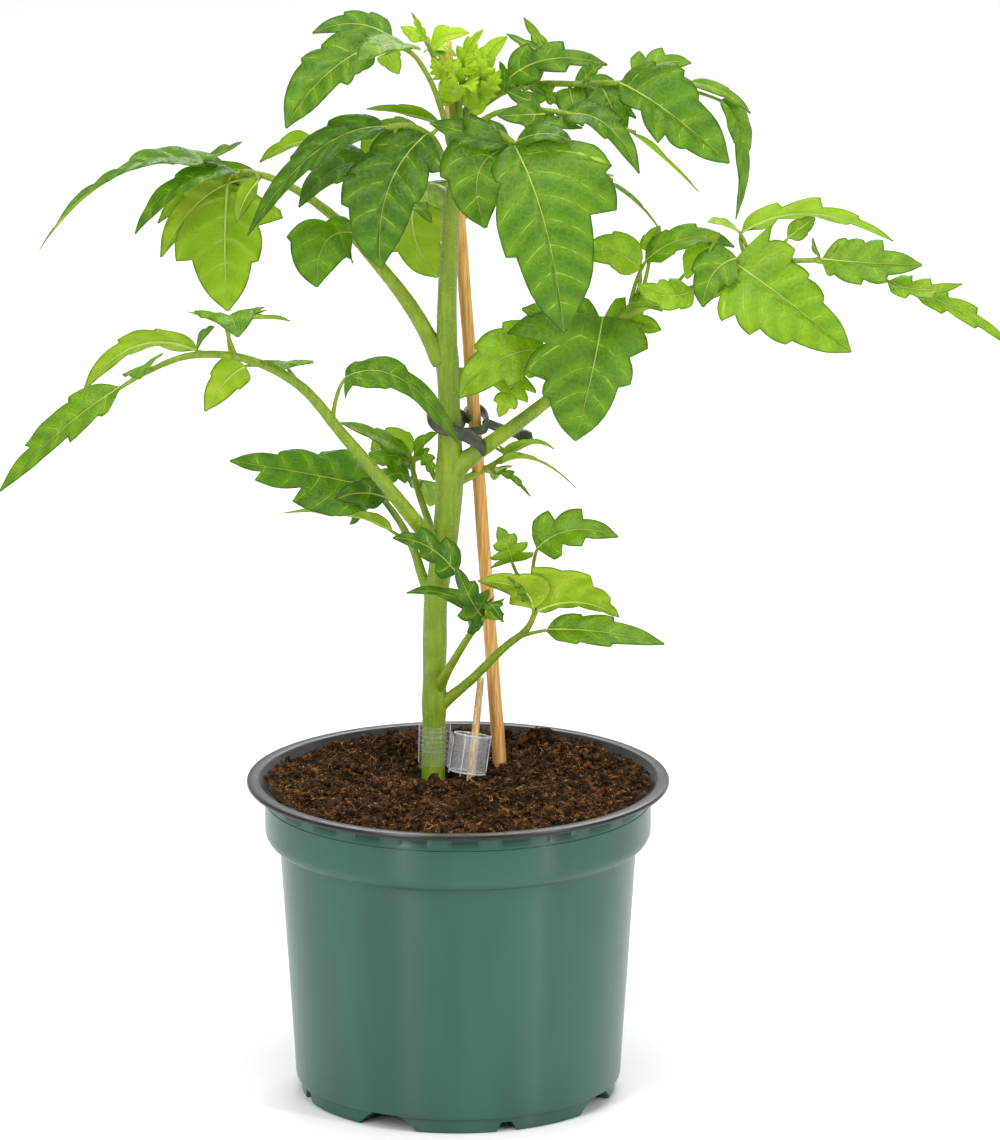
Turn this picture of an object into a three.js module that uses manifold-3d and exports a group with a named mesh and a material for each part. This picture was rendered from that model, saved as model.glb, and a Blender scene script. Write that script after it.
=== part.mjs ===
import * as THREE from "three";
import { mergeVertices } from "three/addons/utils/BufferGeometryUtils.js";
import Module from "manifold-3d";

// Tomato plant in a round grow pot. Millimetres, +Z up, +X right, -Y towards the front.
// The origin is the middle of the pot's foot, on the surface that the pot stands on.

// ---- pot ----
const LIP_R = 70; // outer radius of the lip
const LIP_IN_R = 65.4; // inner edge of the lip
const POT_TOP = 107.2; // top of the lip
const LIP_H = 2; // height of the lip's outer face
const COLLAR_R = 64; // straight band under the lip
const COLLAR_LOW = 90.4; // where the band starts to round in
const COLLAR_END = 85.6; // lower end of the rounding
const WALL_TOP_R = 59.2; // wall just under the band
const WALL_LOW_R = 54; // wall just above the foot
const FOOT_R = 52.2;
const FOOT_STEP = 4.6; // height of the step above the foot
const WALL = 1.3;
const FLOOR_LOW = 5.7; // underside of the floor inside the foot ring
const FLOOR_TOP = 7.2;
const FOOT_IN_R = 39; // inner radius of the foot ring
const PAD_R = 12; // middle pad under the floor
const POT_STEPS = 48; // facets round the pot
const POCKETS = 24; // shallow pockets under the lip
const POCKET_W = 10;
const POCKET_LOW = 101.6;
const POCKET_DEEP = 0.9;
const POCKET_TURN = 2.2; // degrees from the front to the middle of the nearest pocket
const FOOT_GAPS = 4; // of each of two kinds of gap in the foot
const SMALL_GAP = { turn: 18, low: 7.2, high: 3.6, height: 3.3 };
const LARGE_GAP = { turn: -27, low: 21.5, high: 9, height: 5.4 };

// ---- soil ----
const SOIL_Z = 104.3; // mean height of the soil
const SOIL_STEPS = 36; // points round each ring of the soil
const SOIL_WAVE = 23; // from one main lump of the soil to the next
const SOIL_LUMP = 0.75; // how far each of three sets of waves lifts the soil
const SOIL_EDGE = [104.6, 106.2]; // least and most height where the soil meets the pot
const SOIL_HOLLOW = { x: 1.5, y: 17.5, across: 15, high: -3.4 }; // smooth, under the clip
const SOIL_HEAPS = [ // heaps, and hollows where high is below 0
  { x: -27, y: 18, across: 9, high: -3 },
  { x: 47, y: 40, across: 10, high: 1.8 }, { x: 27, y: 55, across: 8, high: 1.6 },
  { x: -52, y: -8, across: 9, high: 1 }, { x: 22, y: 8, across: 6, high: -1.6 },
];
const GAP = 0.3; // play between touching pieces

// ---- plant ----
const BLADE_T = 0.72; // thickness of a leaflet
const FOLD = 12; // degrees that each half of a leaflet is folded up
const STALKLET_R = 0.6; // half the thickness of a leaflet's own short stalk
const STALK_SIDES = 5;
const SMOOTHING = 0.16; // detail finer than this is dropped from the solids
const SMALL_LEAFLET = 13; // leaflets shorter than this have one large tooth a side
const MEDIUM_LEAFLET = 31; // leaflets shorter than this have at most two, and no fold
const LARGE_LEAFLET = 36; // leaflets longer than this have a rounder base
const STEM_SIDES = 10;

// ---- front view in which the places of stem, leaves and sticks are given ----
// A place is [across, down, away]: view units to the right and down from the view's corner,
// and millimetres away from the viewer behind the pot's axis.
const VIEW_SCALE = 3.034; // view units for a millimetre at the aim point
const VIEW_DISTANCE = 3500;
const VIEW_RISE = THREE.MathUtils.degToRad(14.8);
const VIEW_AIM = new THREE.Vector3(13.9, 0, 178.2);
const VIEW_CENTRE = [500, 570];

const forward = new THREE.Vector3(0, Math.cos(VIEW_RISE), -Math.sin(VIEW_RISE));
const upward = new THREE.Vector3(0, Math.sin(VIEW_RISE), Math.cos(VIEW_RISE));
const eye = VIEW_AIM.clone().addScaledVector(forward, -VIEW_DISTANCE);

/** The point in millimetres that a place in the front view stands for. */
function spot([across, down, away]) {
  const ray = forward.clone().multiplyScalar(VIEW_SCALE * VIEW_DISTANCE);
  ray.x += across - VIEW_CENTRE[0];
  ray.addScaledVector(upward, VIEW_CENTRE[1] - down);
  return eye.clone().addScaledVector(ray, (away - eye.y) / ray.y);
}

const STEM = [
  [431, 812, 18, 4], [431, 770, 18, 4], [432, 738, 18, 3.9], [433, 700, 18, 3.9], [434, 640, 18, 4.1],
  [436, 600, 18, 3.9], [441, 565, 18, 3.8], [446, 530, 18, 4.3], [449, 495, 18, 4.5], [450, 455, 18, 4.1],
  [449, 400, 18, 3.6], [447, 350, 18, 3.4], [447, 300, 18, 3.2], [449, 250, 18, 2.8], [452, 200, 17, 2.3],
  [455, 165, 16, 1.8], [457, 130, 15, 1.5], [458, 112, 14, 1.1],
];
const STAKE = { top: [446, 42, 26.5], foot: [502, 790, 30], topR: 2, footR: 2.3 };
const GRAFT_STICK = { top: [481, 678, 22], foot: [467, 815, 14], topR: 1.15, footR: 1.5 };
const STEM_SLEEVE = { top: [433, 724, 18], foot: [432, 763, 18], outer: 5.1, inner: 4.4 };
const STICK_SLEEVE = { top: 736, foot: 772.5, outer: 6.4, inner: 5.4 }; // top and foot: view units down
const CLIP_RIBS = { count: 5, first: 1.2, step: 1.7, tall: 0.8, outer: 5.8 }; // first: below the sleeve's top

// Leaflet outlines. Each entry is one tooth on that side: [along, out, along, out] of the tooth's tip and of the
// notch after it, as fractions of the midrib's length. lean is how far forward the side veins run.
const FORMS = {
  plain: {
    left: [[0.5, 0.27, 0.52, 0.23]],
    right: [[0.56, 0.26, 0.58, 0.22]],
  },
  slim: {
    left: [[0.46, 0.17, 0.48, 0.14]],
    right: [[0.58, 0.15, 0.6, 0.12]],
  },
  ovate: {
    left: [[0.34, 0.3, 0.36, 0.25], [0.62, 0.25, 0.63, 0.19]],
    right: [[0.3, 0.28, 0.32, 0.24], [0.58, 0.27, 0.59, 0.2]],
  },
  lobed: {
    left: [[0.34, 0.28, 0.37, 0.15], [0.66, 0.22, 0.68, 0.11]],
    right: [[0.3, 0.29, 0.33, 0.16], [0.6, 0.24, 0.62, 0.12]],
  },
  heart: {
    left: [[0.24, 0.42, 0.27, 0.33], [0.6, 0.32, 0.62, 0.25]],
    right: [[0.22, 0.43, 0.26, 0.34], [0.56, 0.34, 0.58, 0.26]],
  },
  fern: {
    left: [[0.26, 0.3, 0.3, 0.15], [0.52, 0.27, 0.55, 0.13], [0.76, 0.16, 0.78, 0.09]],
    right: [[0.24, 0.31, 0.28, 0.15], [0.5, 0.28, 0.53, 0.13], [0.74, 0.17, 0.76, 0.09]],
  },
  front_big: {
    left: [[0.2, 0.17, 0.22, 0.15], [0.61, 0.23, 0.62, 0.18]],
    right: [[0.32, 0.4, 0.34, 0.36], [0.52, 0.36, 0.51, 0.23]],
  },
  broad: {
    left: [[0.28, 0.72, 0.3, 0.4], [0.57, 0.52, 0.58, 0.33], [0.72, 0.34, 0.74, 0.28]],
    right: [[0.04, 0.34, 0.08, 0.32], [0.22, 0.4, 0.3, 0.27], [0.49, 0.32, 0.53, 0.23]], lean: 0.05,
  },
  right_big: {
    left: [[0.05, 0.3, 0.1, 0.25], [0.24, 0.4, 0.29, 0.31], [0.45, 0.36, 0.48, 0.28], [0.67, 0.25, 0.69, 0.2]],
    right: [[0.08, 0.36, 0.14, 0.26], [0.34, 0.31, 0.37, 0.22], [0.52, 0.24, 0.53, 0.21], [0.68, 0.18, 0.7, 0.14]], lean: 0.15,
  },
  pale_hang: {
    left: [[0.3, 0.43, 0.36, 0.25], [0.63, 0.25, 0.64, 0.2]],
    right: [[0.34, 0.33, 0.36, 0.32], [0.63, 0.37, 0.62, 0.25]],
  },
  front_left: {
    left: [[0.3, 0.22, 0.32, 0.21], [0.66, 0.27, 0.67, 0.22]],
    right: [[0.17, 0.27, 0.25, 0.2], [0.52, 0.22, 0.53, 0.2]],
  },
  term_right: {
    left: [[0.24, 0.2, 0.22, 0.12], [0.5, 0.2, 0.44, 0.09], [0.72, 0.16, 0.66, 0.07], [0.86, 0.08, 0.85, 0.05]],
    right: [[0.3, 0.12, 0.31, 0.08], [0.54, 0.09, 0.53, 0.05], [0.7, 0.07, 0.72, 0.05], [0.86, 0.04, 0.87, 0.03]], lean: 0.9,
  },
  term_left: {
    left: [[0.34, 0.19, 0.36, 0.16], [0.74, 0.15, 0.72, 0.09]],
    right: [[0.24, 0.2, 0.26, 0.16], [0.5, 0.19, 0.49, 0.12]], lean: 0.9,
  },
  top_left: {
    left: [[0.36, 0.225, 0.38, 0.205], [0.54, 0.24, 0.56, 0.2]],
    right: [[0.28, 0.18, 0.3, 0.17], [0.41, 0.215, 0.44, 0.15]],
  },
  top_end: {
    left: [[0.3, 0.12, 0.32, 0.115], [0.575, 0.24, 0.58, 0.15], [0.72, 0.165, 0.74, 0.14]],
    right: [[0.19, 0.25, 0.21, 0.23], [0.42, 0.31, 0.44, 0.27], [0.6, 0.235, 0.62, 0.2]],
  },
  turned: {
    left: [[0.3, 0.18, 0.32, 0.17], [0.62, 0.42, 0.64, 0.36]],
    right: [[0.2, 0.42, 0.24, 0.36], [0.5, 0.36, 0.52, 0.3]],
  },
  long_lobed: {
    left: [[0.16, 0.22, 0.19, 0.19], [0.48, 0.29, 0.49, 0.21], [0.7, 0.22, 0.71, 0.14]],
    right: [[0.22, 0.25, 0.25, 0.23], [0.42, 0.24, 0.44, 0.21], [0.62, 0.25, 0.64, 0.14]],
  },
  shoot_left: {
    left: [[0.42, 0.18, 0.44, 0.15], [0.7, 0.11, 0.71, 0.09]],
    right: [[0.6, 0.24, 0.54, 0.12], [0.84, 0.12, 0.76, 0.04]],
  },
  pale_right: {
    left: [[0.06, 0.6, 0.32, 0.42], [0.56, 0.4, 0.62, 0.25], [0.82, 0.18, 0.85, 0.1]],
    right: [[0.25, 0.1, 0.27, 0.09], [0.5, 0.1, 0.52, 0.08], [0.8, 0.08, 0.82, 0.06]], lean: 0.1,
  },
  fold_lobe: {
    left: [[0, 0.34, 0.1, 0.18], [0.4, 0.2, 0.43, 0.16]],
    right: [[0.1, 0.12, 0.16, 0.12], [0.48, 0.15, 0.52, 0.11]], lean: 0.1,
  },
};

const LEAVES = [
  {
    name: "leaf_low_left",
    stalks: [
      [[440, 552, 18, 2.9], [400, 502, 7, 2.6], [345, 437, 0, 2.1], [298, 384, -3, 1.8], [243, 358, -6, 1.5], [188, 356, -8, 1.2], [143, 374, -11, 0.9], [120, 388, -12, 0.7]],
    ],
    leaflets: [
      { at: 1, base: [121, 387, -12], mid: [62, 430, -17], tip: [0, 491, -16],
        face: [-0.5, -0.55, 0.7], form: "term_left", width: 0.8 },
      { at: 0.9, base: [146, 369, -12], mid: [143, 366, -22], tip: [140, 379, -31],
        face: [-0.5, -0.1, 0.85], form: "ovate", width: 1.3, fold: 5 },
      { at: 0.78, base: [199, 351, -6], mid: [137, 345, 0], tip: [84, 390, 3],
        face: [-0.15, 0.62, 0.7], form: "ovate", width: 0.55 },
      { at: 0.79, base: [196, 350, -9], mid: [204, 336, -13], tip: [214, 327, -16],
        face: [-0.6, -0.4, 0.6], form: "slim", width: 1.2 },
      { at: 0.72, base: [226, 327, -9], mid: [230, 316, -22], tip: [238, 337, -34],
        face: [0, -0.1, 1], form: "heart", width: 1.15, fold: 14 },
      { at: 0.73, base: [232, 322, -5], mid: [262, 318, -2], tip: [290, 321, 0],
        face: [0.1, 0.45, 0.85], form: "slim", width: 1.2 },
      { at: 0.65, base: [245, 366, -5], mid: [226, 381, -2], tip: [205, 411, 0],
        face: [0.3, 0.8, 0.5], form: "plain", width: 1 },
      { at: 0.5, base: [288, 368, -2], mid: [286, 362, -12], tip: [283, 370, -21],
        face: [0, -0.05, 1], form: "heart", width: 1.2, fold: 6 },
      { at: 0.44, base: [345, 378, -2], mid: [402, 380, -5], tip: [461, 447, 3],
        face: [0.35, -0.55, 0.75], form: "fold_lobe", width: 0.72 },
    ],
  },
  {
    name: "leaf_high_left",
    stalks: [
      [[443, 362, 18, 3], [410, 305, 20, 2.7], [372, 257, 21, 2.2], [340, 222, 22, 1.9], [297, 190, 24, 1.5], [262, 175, 25, 1.2], [228, 170, 26, 1]],
    ],
    leaflets: [
      { at: 1, base: [228, 169, 26], mid: [126, 171, 24], tip: [40, 249, 20],
        face: [-0.1, -0.05, 1], form: "slim", width: 0.75, twist: 25 },
      { at: 0.97, base: [238, 173, 22], mid: [181, 187, 15], tip: [135, 234, 9],
        face: [-0.5, -0.25, 0.85], form: "slim", width: 1.1 },
      { at: 0.9, base: [262, 177, 28], mid: [205, 196, 33], tip: [161, 257, 36],
        face: [-0.35, 0.75, 0.5], form: "slim", width: 0.95 },
      { at: 0.93, base: [250, 178, 30], mid: [203, 188, 34], tip: [158, 223, 36],
        face: [-0.3, 0.7, 0.6], form: "slim", width: 1 },
      { at: 0.97, base: [228, 182, 31], mid: [225, 245, 35], tip: [228, 311, 35],
        face: [0, 1, 0.1], form: "pale_hang", width: 1 },
      { at: 0.91, base: [258, 181, 21], mid: [246, 197, 19], tip: [236, 222, 18],
        face: [-0.3, 0.75, 0.45], form: "plain", width: 1 },
      { at: 0.56, base: [354, 233, 17], mid: [325, 243, 11], tip: [317, 287, 9],
        face: [0.05, -0.95, 0.35], form: "turned", width: 1.1 },
      { at: 1, base: [206, 156, 24], mid: [222, 153, 19], tip: [242, 142, 13],
        face: [0, -0.45, 0.88], form: "slim", width: 1.2 },
      { at: 0.8, base: [318, 142, 30], mid: [290, 144, 33], tip: [260, 162, 34],
        face: [-0.2, 0.7, 0.6], form: "slim", width: 1.1 },
    ],
  },
  {
    name: "leaf_front_left",
    stalks: [
      [[456, 172, 16, 1.5], [444, 160, 9, 1.3], [432, 138, 2, 1.2], [410, 126, -2, 1], [388, 127, -4, 0.9]],
    ],
    leaflets: [
      { at: 0.66, base: [428, 133, 0], mid: [388, 190, -10], tip: [381, 268, -10],
        face: [-0.2, -0.9, 0.4], form: "front_left", width: 1.04 },
      { at: 1, base: [387, 127, -4], mid: [316, 152, -10], tip: [248, 235, -12],
        face: [-0.5, -0.55, 0.65], form: "ovate", width: 0.42 },
      { at: 0.8, base: [424, 133, 4], mid: [391, 133, 10], tip: [362, 156, 14],
        face: [-0.1, 0.65, 0.75], form: "plain", width: 1.15 },
      { at: 0.6, base: [440, 123, 6], mid: [405, 113, 9], tip: [367, 109, 10],
        face: [0.1, 0.5, 0.85], form: "plain", width: 0.9 },
      { at: 0.92, base: [370, 163, 1], mid: [333, 171, -2], tip: [299, 207, -4],
        face: [-0.45, -0.45, 0.75], form: "plain", width: 1.1 },
    ],
  },
  {
    name: "leaf_back_left",
    stalks: [
      [[450, 198, 18, 1.4], [438, 188, 26, 1.3], [424, 188, 34, 1.1], [414, 198, 38, 1]],
    ],
    leaflets: [
      { at: 1, base: [414, 200, 38], mid: [416, 240, 43], tip: [438, 277, 43],
        face: [0.15, 1, 0.1], form: "ovate", width: 1.3 },
      { at: 0.95, base: [412, 203, 34], mid: [421, 210, 30], tip: [432, 223, 28],
        face: [0.2, -0.4, 0.8], form: "slim", width: 1.6 },
      { at: 0.85, base: [420, 190, 48], mid: [426, 190, 66], tip: [430, 222, 80],
        face: [0, 0.2, 1], form: "ovate", width: 1 },
      { at: 0.7, base: [440, 192, 40], mid: [450, 200, 56], tip: [452, 232, 68],
        face: [0.3, 0.3, 0.9], form: "ovate", width: 0.9 },
    ],
  },
  {
    name: "leaf_top_left",
    stalks: [
      [[451, 144, 15, 1.15], [441, 108, 3, 0.95], [428, 76, -3, 0.85], [410, 52, -3, 0.75], [378, 42, -4, 0.7]],
    ],
    leaflets: [
      { at: 1, base: [375, 45, -4], mid: [325, 76, -9], tip: [286, 128, -10],
        face: [-0.3, -0.8, 0.55], form: "top_left", width: 1.05 },
      { at: 0.92, base: [392, 38, 0], mid: [355, 24, 3], tip: [313, 33, 3],
        face: [0, -0.75, 0.65], form: "ovate", width: 0.62 },
      { at: 0.8, base: [409, 47, -4], mid: [385, 46, -15], tip: [357, 62, -24],
        face: [-0.1, -0.45, 0.9], form: "heart", width: 0.8 },
      { at: 0.86, base: [386, 54, -2], mid: [391, 61, 0], tip: [399, 74, 0],
        face: [0, 0.9, 0.4], form: "plain", width: 1.6 },
    ],
  },
  {
    name: "shoot_tip",
    stalks: [
      [[456, 126, 14, 1.2], [449, 92, 9, 1.1], [438, 66, 6, 0.9], [428, 44, 5, 0.8]],
      [[458, 126, 14, 1.2], [460, 95, 10, 1.1], [464, 72, 8, 0.8]],
      [[459, 126, 16, 1.2], [472, 100, 15, 1.1], [484, 82, 14, 0.8]],
    ],
    leaflets: [
      { at: 1, base: [428, 44, 5], mid: [421, 29, 4], tip: [412, 13, 4],
        face: [-0.7, -0.5, 0.3], form: "fern", width: 0.8 },
      { at: 0.98, base: [431, 46, 4], mid: [446, 36, 1], tip: [469, 33, -1],
        face: [0, -0.6, 0.8], form: "slim", width: 1.5 },
      { at: 0.95, base: [424, 40, 6], mid: [413, 34, 8], tip: [401, 27, 8],
        face: [0, -0.7, 0.6], form: "plain", width: 1.1 },
      { at: 0.55, base: [445, 78, 6], mid: [438, 68, 2], tip: [432, 58, 0],
        face: [-0.2, -0.9, 0.3], form: "fern", width: 1.1 },
      { at: 0.75, base: [440, 58, 7], mid: [437, 48, 12], tip: [424, 52, 16],
        face: [0, -0.4, 0.9], form: "slim", width: 1.2 },
      { at: 1, base: [464, 74, 8], mid: [467, 52, 6], tip: [483, 30, 4],
        face: [-0.5, -0.8, 0.2], form: "fern", width: 0.85, on: 1 },
      { at: 0.85, base: [462, 82, 8], mid: [452, 68, 4], tip: [438, 64, 2],
        face: [-0.2, -0.8, 0.5], form: "fern", width: 1.1, on: 1 },
      { at: 0.7, base: [461, 92, 8], mid: [468, 84, 2], tip: [474, 92, -4],
        face: [0, -0.6, 0.8], form: "fern", width: 1.2, on: 1 },
      { at: 1, base: [484, 76, 15], mid: [489, 55, 17], tip: [507, 37, 18],
        face: [-0.6, -0.7, 0.2], form: "plain", width: 1, on: 2 },
      { at: 0.6, base: [459, 100, 8], mid: [450, 86, 5], tip: [446, 66, 4],
        face: [-0.2, -0.9, 0.3], form: "slim", width: 1.5, on: 1 },
      { at: 0.62, base: [474, 102, 13], mid: [482, 84, 10], tip: [486, 62, 9],
        face: [0.3, -0.9, 0.2], form: "slim", width: 1.3, on: 2 },
      { at: 0.45, base: [469, 108, 13], mid: [470, 92, 9], tip: [477, 72, 6],
        face: [-0.2, -0.95, 0.2], form: "slim", width: 1.2, on: 2 },
      { at: 0.4, base: [468, 110, 16], mid: [482, 100, 17], tip: [493, 82, 17],
        face: [0.4, -0.85, 0.2], form: "slim", width: 1.2, on: 2 },
      { at: 0.4, base: [450, 106, 10], mid: [444, 94, 8], tip: [443, 78, 6],
        face: [-0.4, -0.85, 0.3], form: "slim", width: 1.2, on: 0 },
      { at: 0.92, base: [433, 50, 8], mid: [444, 48, 12], tip: [456, 56, 14],
        face: [0, -0.5, 0.8], form: "fern", width: 1.3, on: 0 },
      { at: 1, base: [466, 72, 12], mid: [474, 58, 15], tip: [470, 42, 17],
        face: [-0.1, -0.95, 0.1], form: "slim", width: 1.3, on: 1 },
      { at: 0.92, base: [482, 88, 12], mid: [480, 70, 6], tip: [474, 54, 3],
        face: [-0.1, -0.95, 0.2], form: "fern", width: 1.2, on: 2 },
      { at: 0.75, base: [480, 94, 11], mid: [491, 84, 6], tip: [500, 70, 4],
        face: [0.3, -0.9, 0.2], form: "fern", width: 1, on: 2 },
    ],
  },
  {
    name: "leaf_top_right",
    stalks: [
      [[459, 128, 19, 1.4], [482, 106, 21, 1.3], [505, 91, 19, 1.2], [540, 84, 13, 1.1], [580, 84, 5, 1], [618, 83, -3, 0.9]],
    ],
    leaflets: [
      { at: 1, base: [620, 83, -4], mid: [668, 112, -9], tip: [729, 163, -10],
        face: [0.15, -0.85, 0.5], form: "top_end", width: 1.08 },
      { at: 0.9, base: [600, 86, 1], mid: [612, 108, -4], tip: [621, 141, -6],
        face: [0.05, -0.85, 0.5], form: "heart", width: 0.95 },
      { at: 0.7, base: [570, 88, 8], mid: [573, 103, 3], tip: [583, 126, 0],
        face: [-0.1, -0.85, 0.5], form: "heart", width: 1 },
      { at: 0.5, base: [538, 88, 12], mid: [548, 96, 8], tip: [562, 104, 5],
        face: [0, -0.85, 0.5], form: "fern", width: 1.25 },
      { at: 0.3, base: [503, 92, 17], mid: [505, 78, 14], tip: [500, 62, 12],
        face: [-0.3, -0.9, 0.2], form: "fern", width: 1 },
      { at: 0.8, base: [575, 82, 9], mid: [598, 91, 9], tip: [636, 118, 8],
        face: [0.1, -0.8, 0.6], form: "lobed", width: 1.1 },
      { at: 0.97, base: [634, 78, 0], mid: [660, 64, 4], tip: [691, 63, 6],
        face: [0, -0.8, 0.6], form: "lobed", width: 1.1 },
      { at: 0.94, base: [688, 83, 4], mid: [722, 92, 5], tip: [750, 113, 4],
        face: [0.25, -0.45, 0.85], form: "plain", width: 0.5 },
      { at: 0.95, base: [720, 100, 6], mid: [740, 142, 6], tip: [736, 219, 6],
        face: [0.9, -0.4, 0.1], form: "slim", width: 0.95 },
      { at: 0.42, base: [510, 78, 11], mid: [552, 59, 6], tip: [607, 65, 2],
        face: [0, -0.8, 0.6], form: "lobed", width: 0.72 },
      { at: 0.5, base: [546, 52, 14], mid: [537, 37, 16], tip: [524, 18, 16],
        face: [-0.5, -0.6, 0.5], form: "slim", width: 0.9 },
      { at: 0.45, base: [540, 52, 13], mid: [523, 43, 15], tip: [507, 34, 15],
        face: [-0.3, -0.5, 0.8], form: "slim", width: 0.8 },
      { at: 0.72, base: [582, 83, 0], mid: [590, 73, -4], tip: [604, 64, -6],
        face: [0, -0.7, 0.7], form: "fern", width: 1 },
      { at: 0.4, base: [515, 87, 16], mid: [530, 86, 11], tip: [546, 96, 8],
        face: [0.1, -0.7, 0.7], form: "fern", width: 0.8 },
    ],
  },
  {
    name: "leaf_front_right",
    stalks: [
      [[461, 136, 14, 1.1], [500, 112, 0, 0.95], [545, 110, -8, 0.85], [590, 119, -9, 0.75], [634, 132, -11, 0.65]],
    ],
    leaflets: [
      { at: 1, base: [634, 133, -9], mid: [664, 158, -9], tip: [698, 191, -9],
        face: [0.5, 0.35, 0.8], form: "slim", width: 0.6 },
      { at: 0.62, base: [562, 116, -6], mid: [605, 124, -14], tip: [639, 173, -18],
        face: [0.2, -0.55, 0.8], form: "ovate", width: 0.62 },
      { at: 0.3, base: [520, 116, -6], mid: [545, 122, -10], tip: [582, 128, -12],
        face: [0, -0.4, 0.9], form: "ovate", width: 0.85 },
      { at: 0.5, base: [545, 114, -9], mid: [524, 115, -14], tip: [498, 116, -18],
        face: [0, -0.8, 0.4], form: "heart", width: 0.75 },
      { at: 0.42, base: [540, 106, -2], mid: [524, 99, -3], tip: [507, 92, -4],
        face: [0, -0.9, 0.35], form: "plain", width: 0.9 },
    ],
  },
  {
    name: "leaf_front",
    stalks: [
      [[456, 156, 14, 1.5], [478, 133, -2, 1.4], [500, 134, -12, 1.2], [513, 143, -17, 1.1]],
    ],
    leaflets: [
      { at: 1, base: [513, 143, -17], mid: [545, 225, -31], tip: [564, 333, -30],
        face: [0.12, -0.95, 0.3], form: "front_big", width: 1 },
      { at: 0.92, base: [513, 147, -14], mid: [479, 172, -20], tip: [486, 228, -23],
        face: [-0.2, -0.85, 0.45], form: "heart", width: 1.12 },
      { at: 0.97, base: [516, 142, -19], mid: [545, 134, -22], tip: [572, 142, -24],
        face: [0.1, -0.45, 0.88], form: "plain", width: 0.9 },
      { at: 0.86, base: [510, 145, -15], mid: [470, 134, -13], tip: [430, 123, -11],
        face: [-0.1, -0.35, 0.9], form: "ovate", width: 1.05 },
    ],
  },
  {
    name: "leaf_back_right",
    stalks: [
      [[454, 206, 18, 1.5], [500, 196, 26, 1.4], [555, 184, 28, 1.2], [604, 180, 22, 1]],
    ],
    leaflets: [
      { at: 1, base: [604, 180, 22], mid: [636, 202, 20], tip: [664, 236, 18],
        face: [0.5, 0.1, 0.85], form: "slim", width: 0.7 },
      { at: 0.85, base: [575, 184, 32], mid: [580, 182, 50], tip: [585, 212, 66],
        face: [0.1, 0.2, 1], form: "ovate", width: 1 },
      { at: 0.6, base: [535, 190, 34], mid: [535, 195, 52], tip: [540, 225, 66],
        face: [0, 0.2, 1], form: "ovate", width: 1 },
    ],
  },
  {
    name: "leaf_right",
    stalks: [
      [[452, 470, 18, 3.1], [485, 447, 14, 2.6], [520, 422, 9, 2.3], [560, 390, 4, 2], [598, 350, 1, 1.8], [628, 314, -2, 1.7], [668, 298, -4, 1.5], [704, 285, -6, 1.3], [740, 270, -8, 1.2], [780, 262, -10, 1], [820, 260, -12, 0.8]],
      [[816, 260, -12, 0.85], [850, 267, -13, 0.7], [885, 280, -15, 0.6], [914, 293, -16, 0.5]],
    ],
    leaflets: [
      { at: 0.1, base: [822, 259, -13], mid: [868, 263, -17], tip: [922, 265, -20],
        face: [0.1, -0.7, 0.7], form: "long_lobed", width: 1.05, on: 1 },
      { at: 0.72, base: [888, 281, -15], mid: [922, 290, -19], tip: [962, 284, -22],
        face: [0.2, -0.6, 0.75], form: "lobed", width: 0.72, on: 1 },
      { at: 1, base: [914, 293, -16], mid: [962, 312, -19], tip: [1012, 347, -20],
        face: [0.25, -0.6, 0.75], form: "lobed", width: 0.5, on: 1 },
      { at: 0.8, base: [737, 258, -12], mid: [713, 274, -15], tip: [703, 307, -16],
        face: [0, -0.85, 0.5], form: "heart", width: 1 },
      { at: 0.995, base: [819, 257, -12], mid: [815, 247, -13], tip: [813, 238, -14],
        face: [-0.7, -0.5, 0.3], form: "slim", width: 1.2 },
      { at: 0.84, base: [733, 262, -10], mid: [786, 300, -17], tip: [851, 352, -18],
        face: [0.1, -0.9, 0.4], form: "right_big", width: 1 },
      { at: 0.85, base: [741, 232, -7], mid: [812, 213, -2], tip: [893, 241, 1],
        face: [0.1, 0.62, 0.75], form: "fern", width: 0.55 },
      { at: 0.85, base: [739, 231, -9], mid: [722, 223, -13], tip: [708, 222, -15],
        face: [0, -0.4, 0.9], form: "slim", width: 1.3 },
      { at: 0.9, base: [788, 238, -7], mid: [802, 227, -6], tip: [815, 218, -5],
        face: [0.2, -0.9, 0.3], form: "plain", width: 1.1 },
      { at: 0.555, base: [640, 270, -4], mid: [612, 252, -7], tip: [583, 259, -9],
        face: [0, -0.7, 0.7], form: "plain", width: 1.2 },
      { at: 0.56, base: [645, 262, -4], mid: [688, 238, -7], tip: [734, 247, -9],
        face: [0.1, -0.55, 0.8], form: "ovate", width: 0.62 },
      { at: 0.58, base: [650, 252, -3], mid: [652, 240, -1], tip: [660, 226, 1],
        face: [-0.3, -0.8, 0.4], form: "plain", width: 1.3 },
      { at: 0.64, base: [684, 274, -6], mid: [698, 256, -9], tip: [720, 233, -10],
        face: [-0.6, -0.5, 0.6], form: "slim", width: 1.4 },
      { at: 0.7, base: [694, 291, -9], mid: [664, 296, -13], tip: [638, 285, -15],
        face: [0, -0.75, 0.65], form: "ovate", width: 1.05 },
      { at: 0.56, base: [628, 305, -4], mid: [645, 302, -7], tip: [662, 311, -9],
        face: [0.1, -0.6, 0.8], form: "plain", width: 0.9 },
      { at: 0.5, base: [603, 317, -1], mid: [591, 378, -11], tip: [575, 441, -13],
        face: [-0.1, -0.92, 0.35], form: "broad", width: 1 },
      { at: 0.505, base: [604, 318, 1], mid: [634, 322, -1], tip: [661, 330, -2],
        face: [0, -0.9, 0.4], form: "lobed", width: 1.35 },
      { at: 0.495, base: [600, 318, 1], mid: [562, 316, 0], tip: [522, 309, -1],
        face: [0, -0.9, 0.4], form: "ovate", width: 0.9 },
      { at: 0.36, base: [545, 350, 3], mid: [500, 360, -3], tip: [459, 398, -4],
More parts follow.
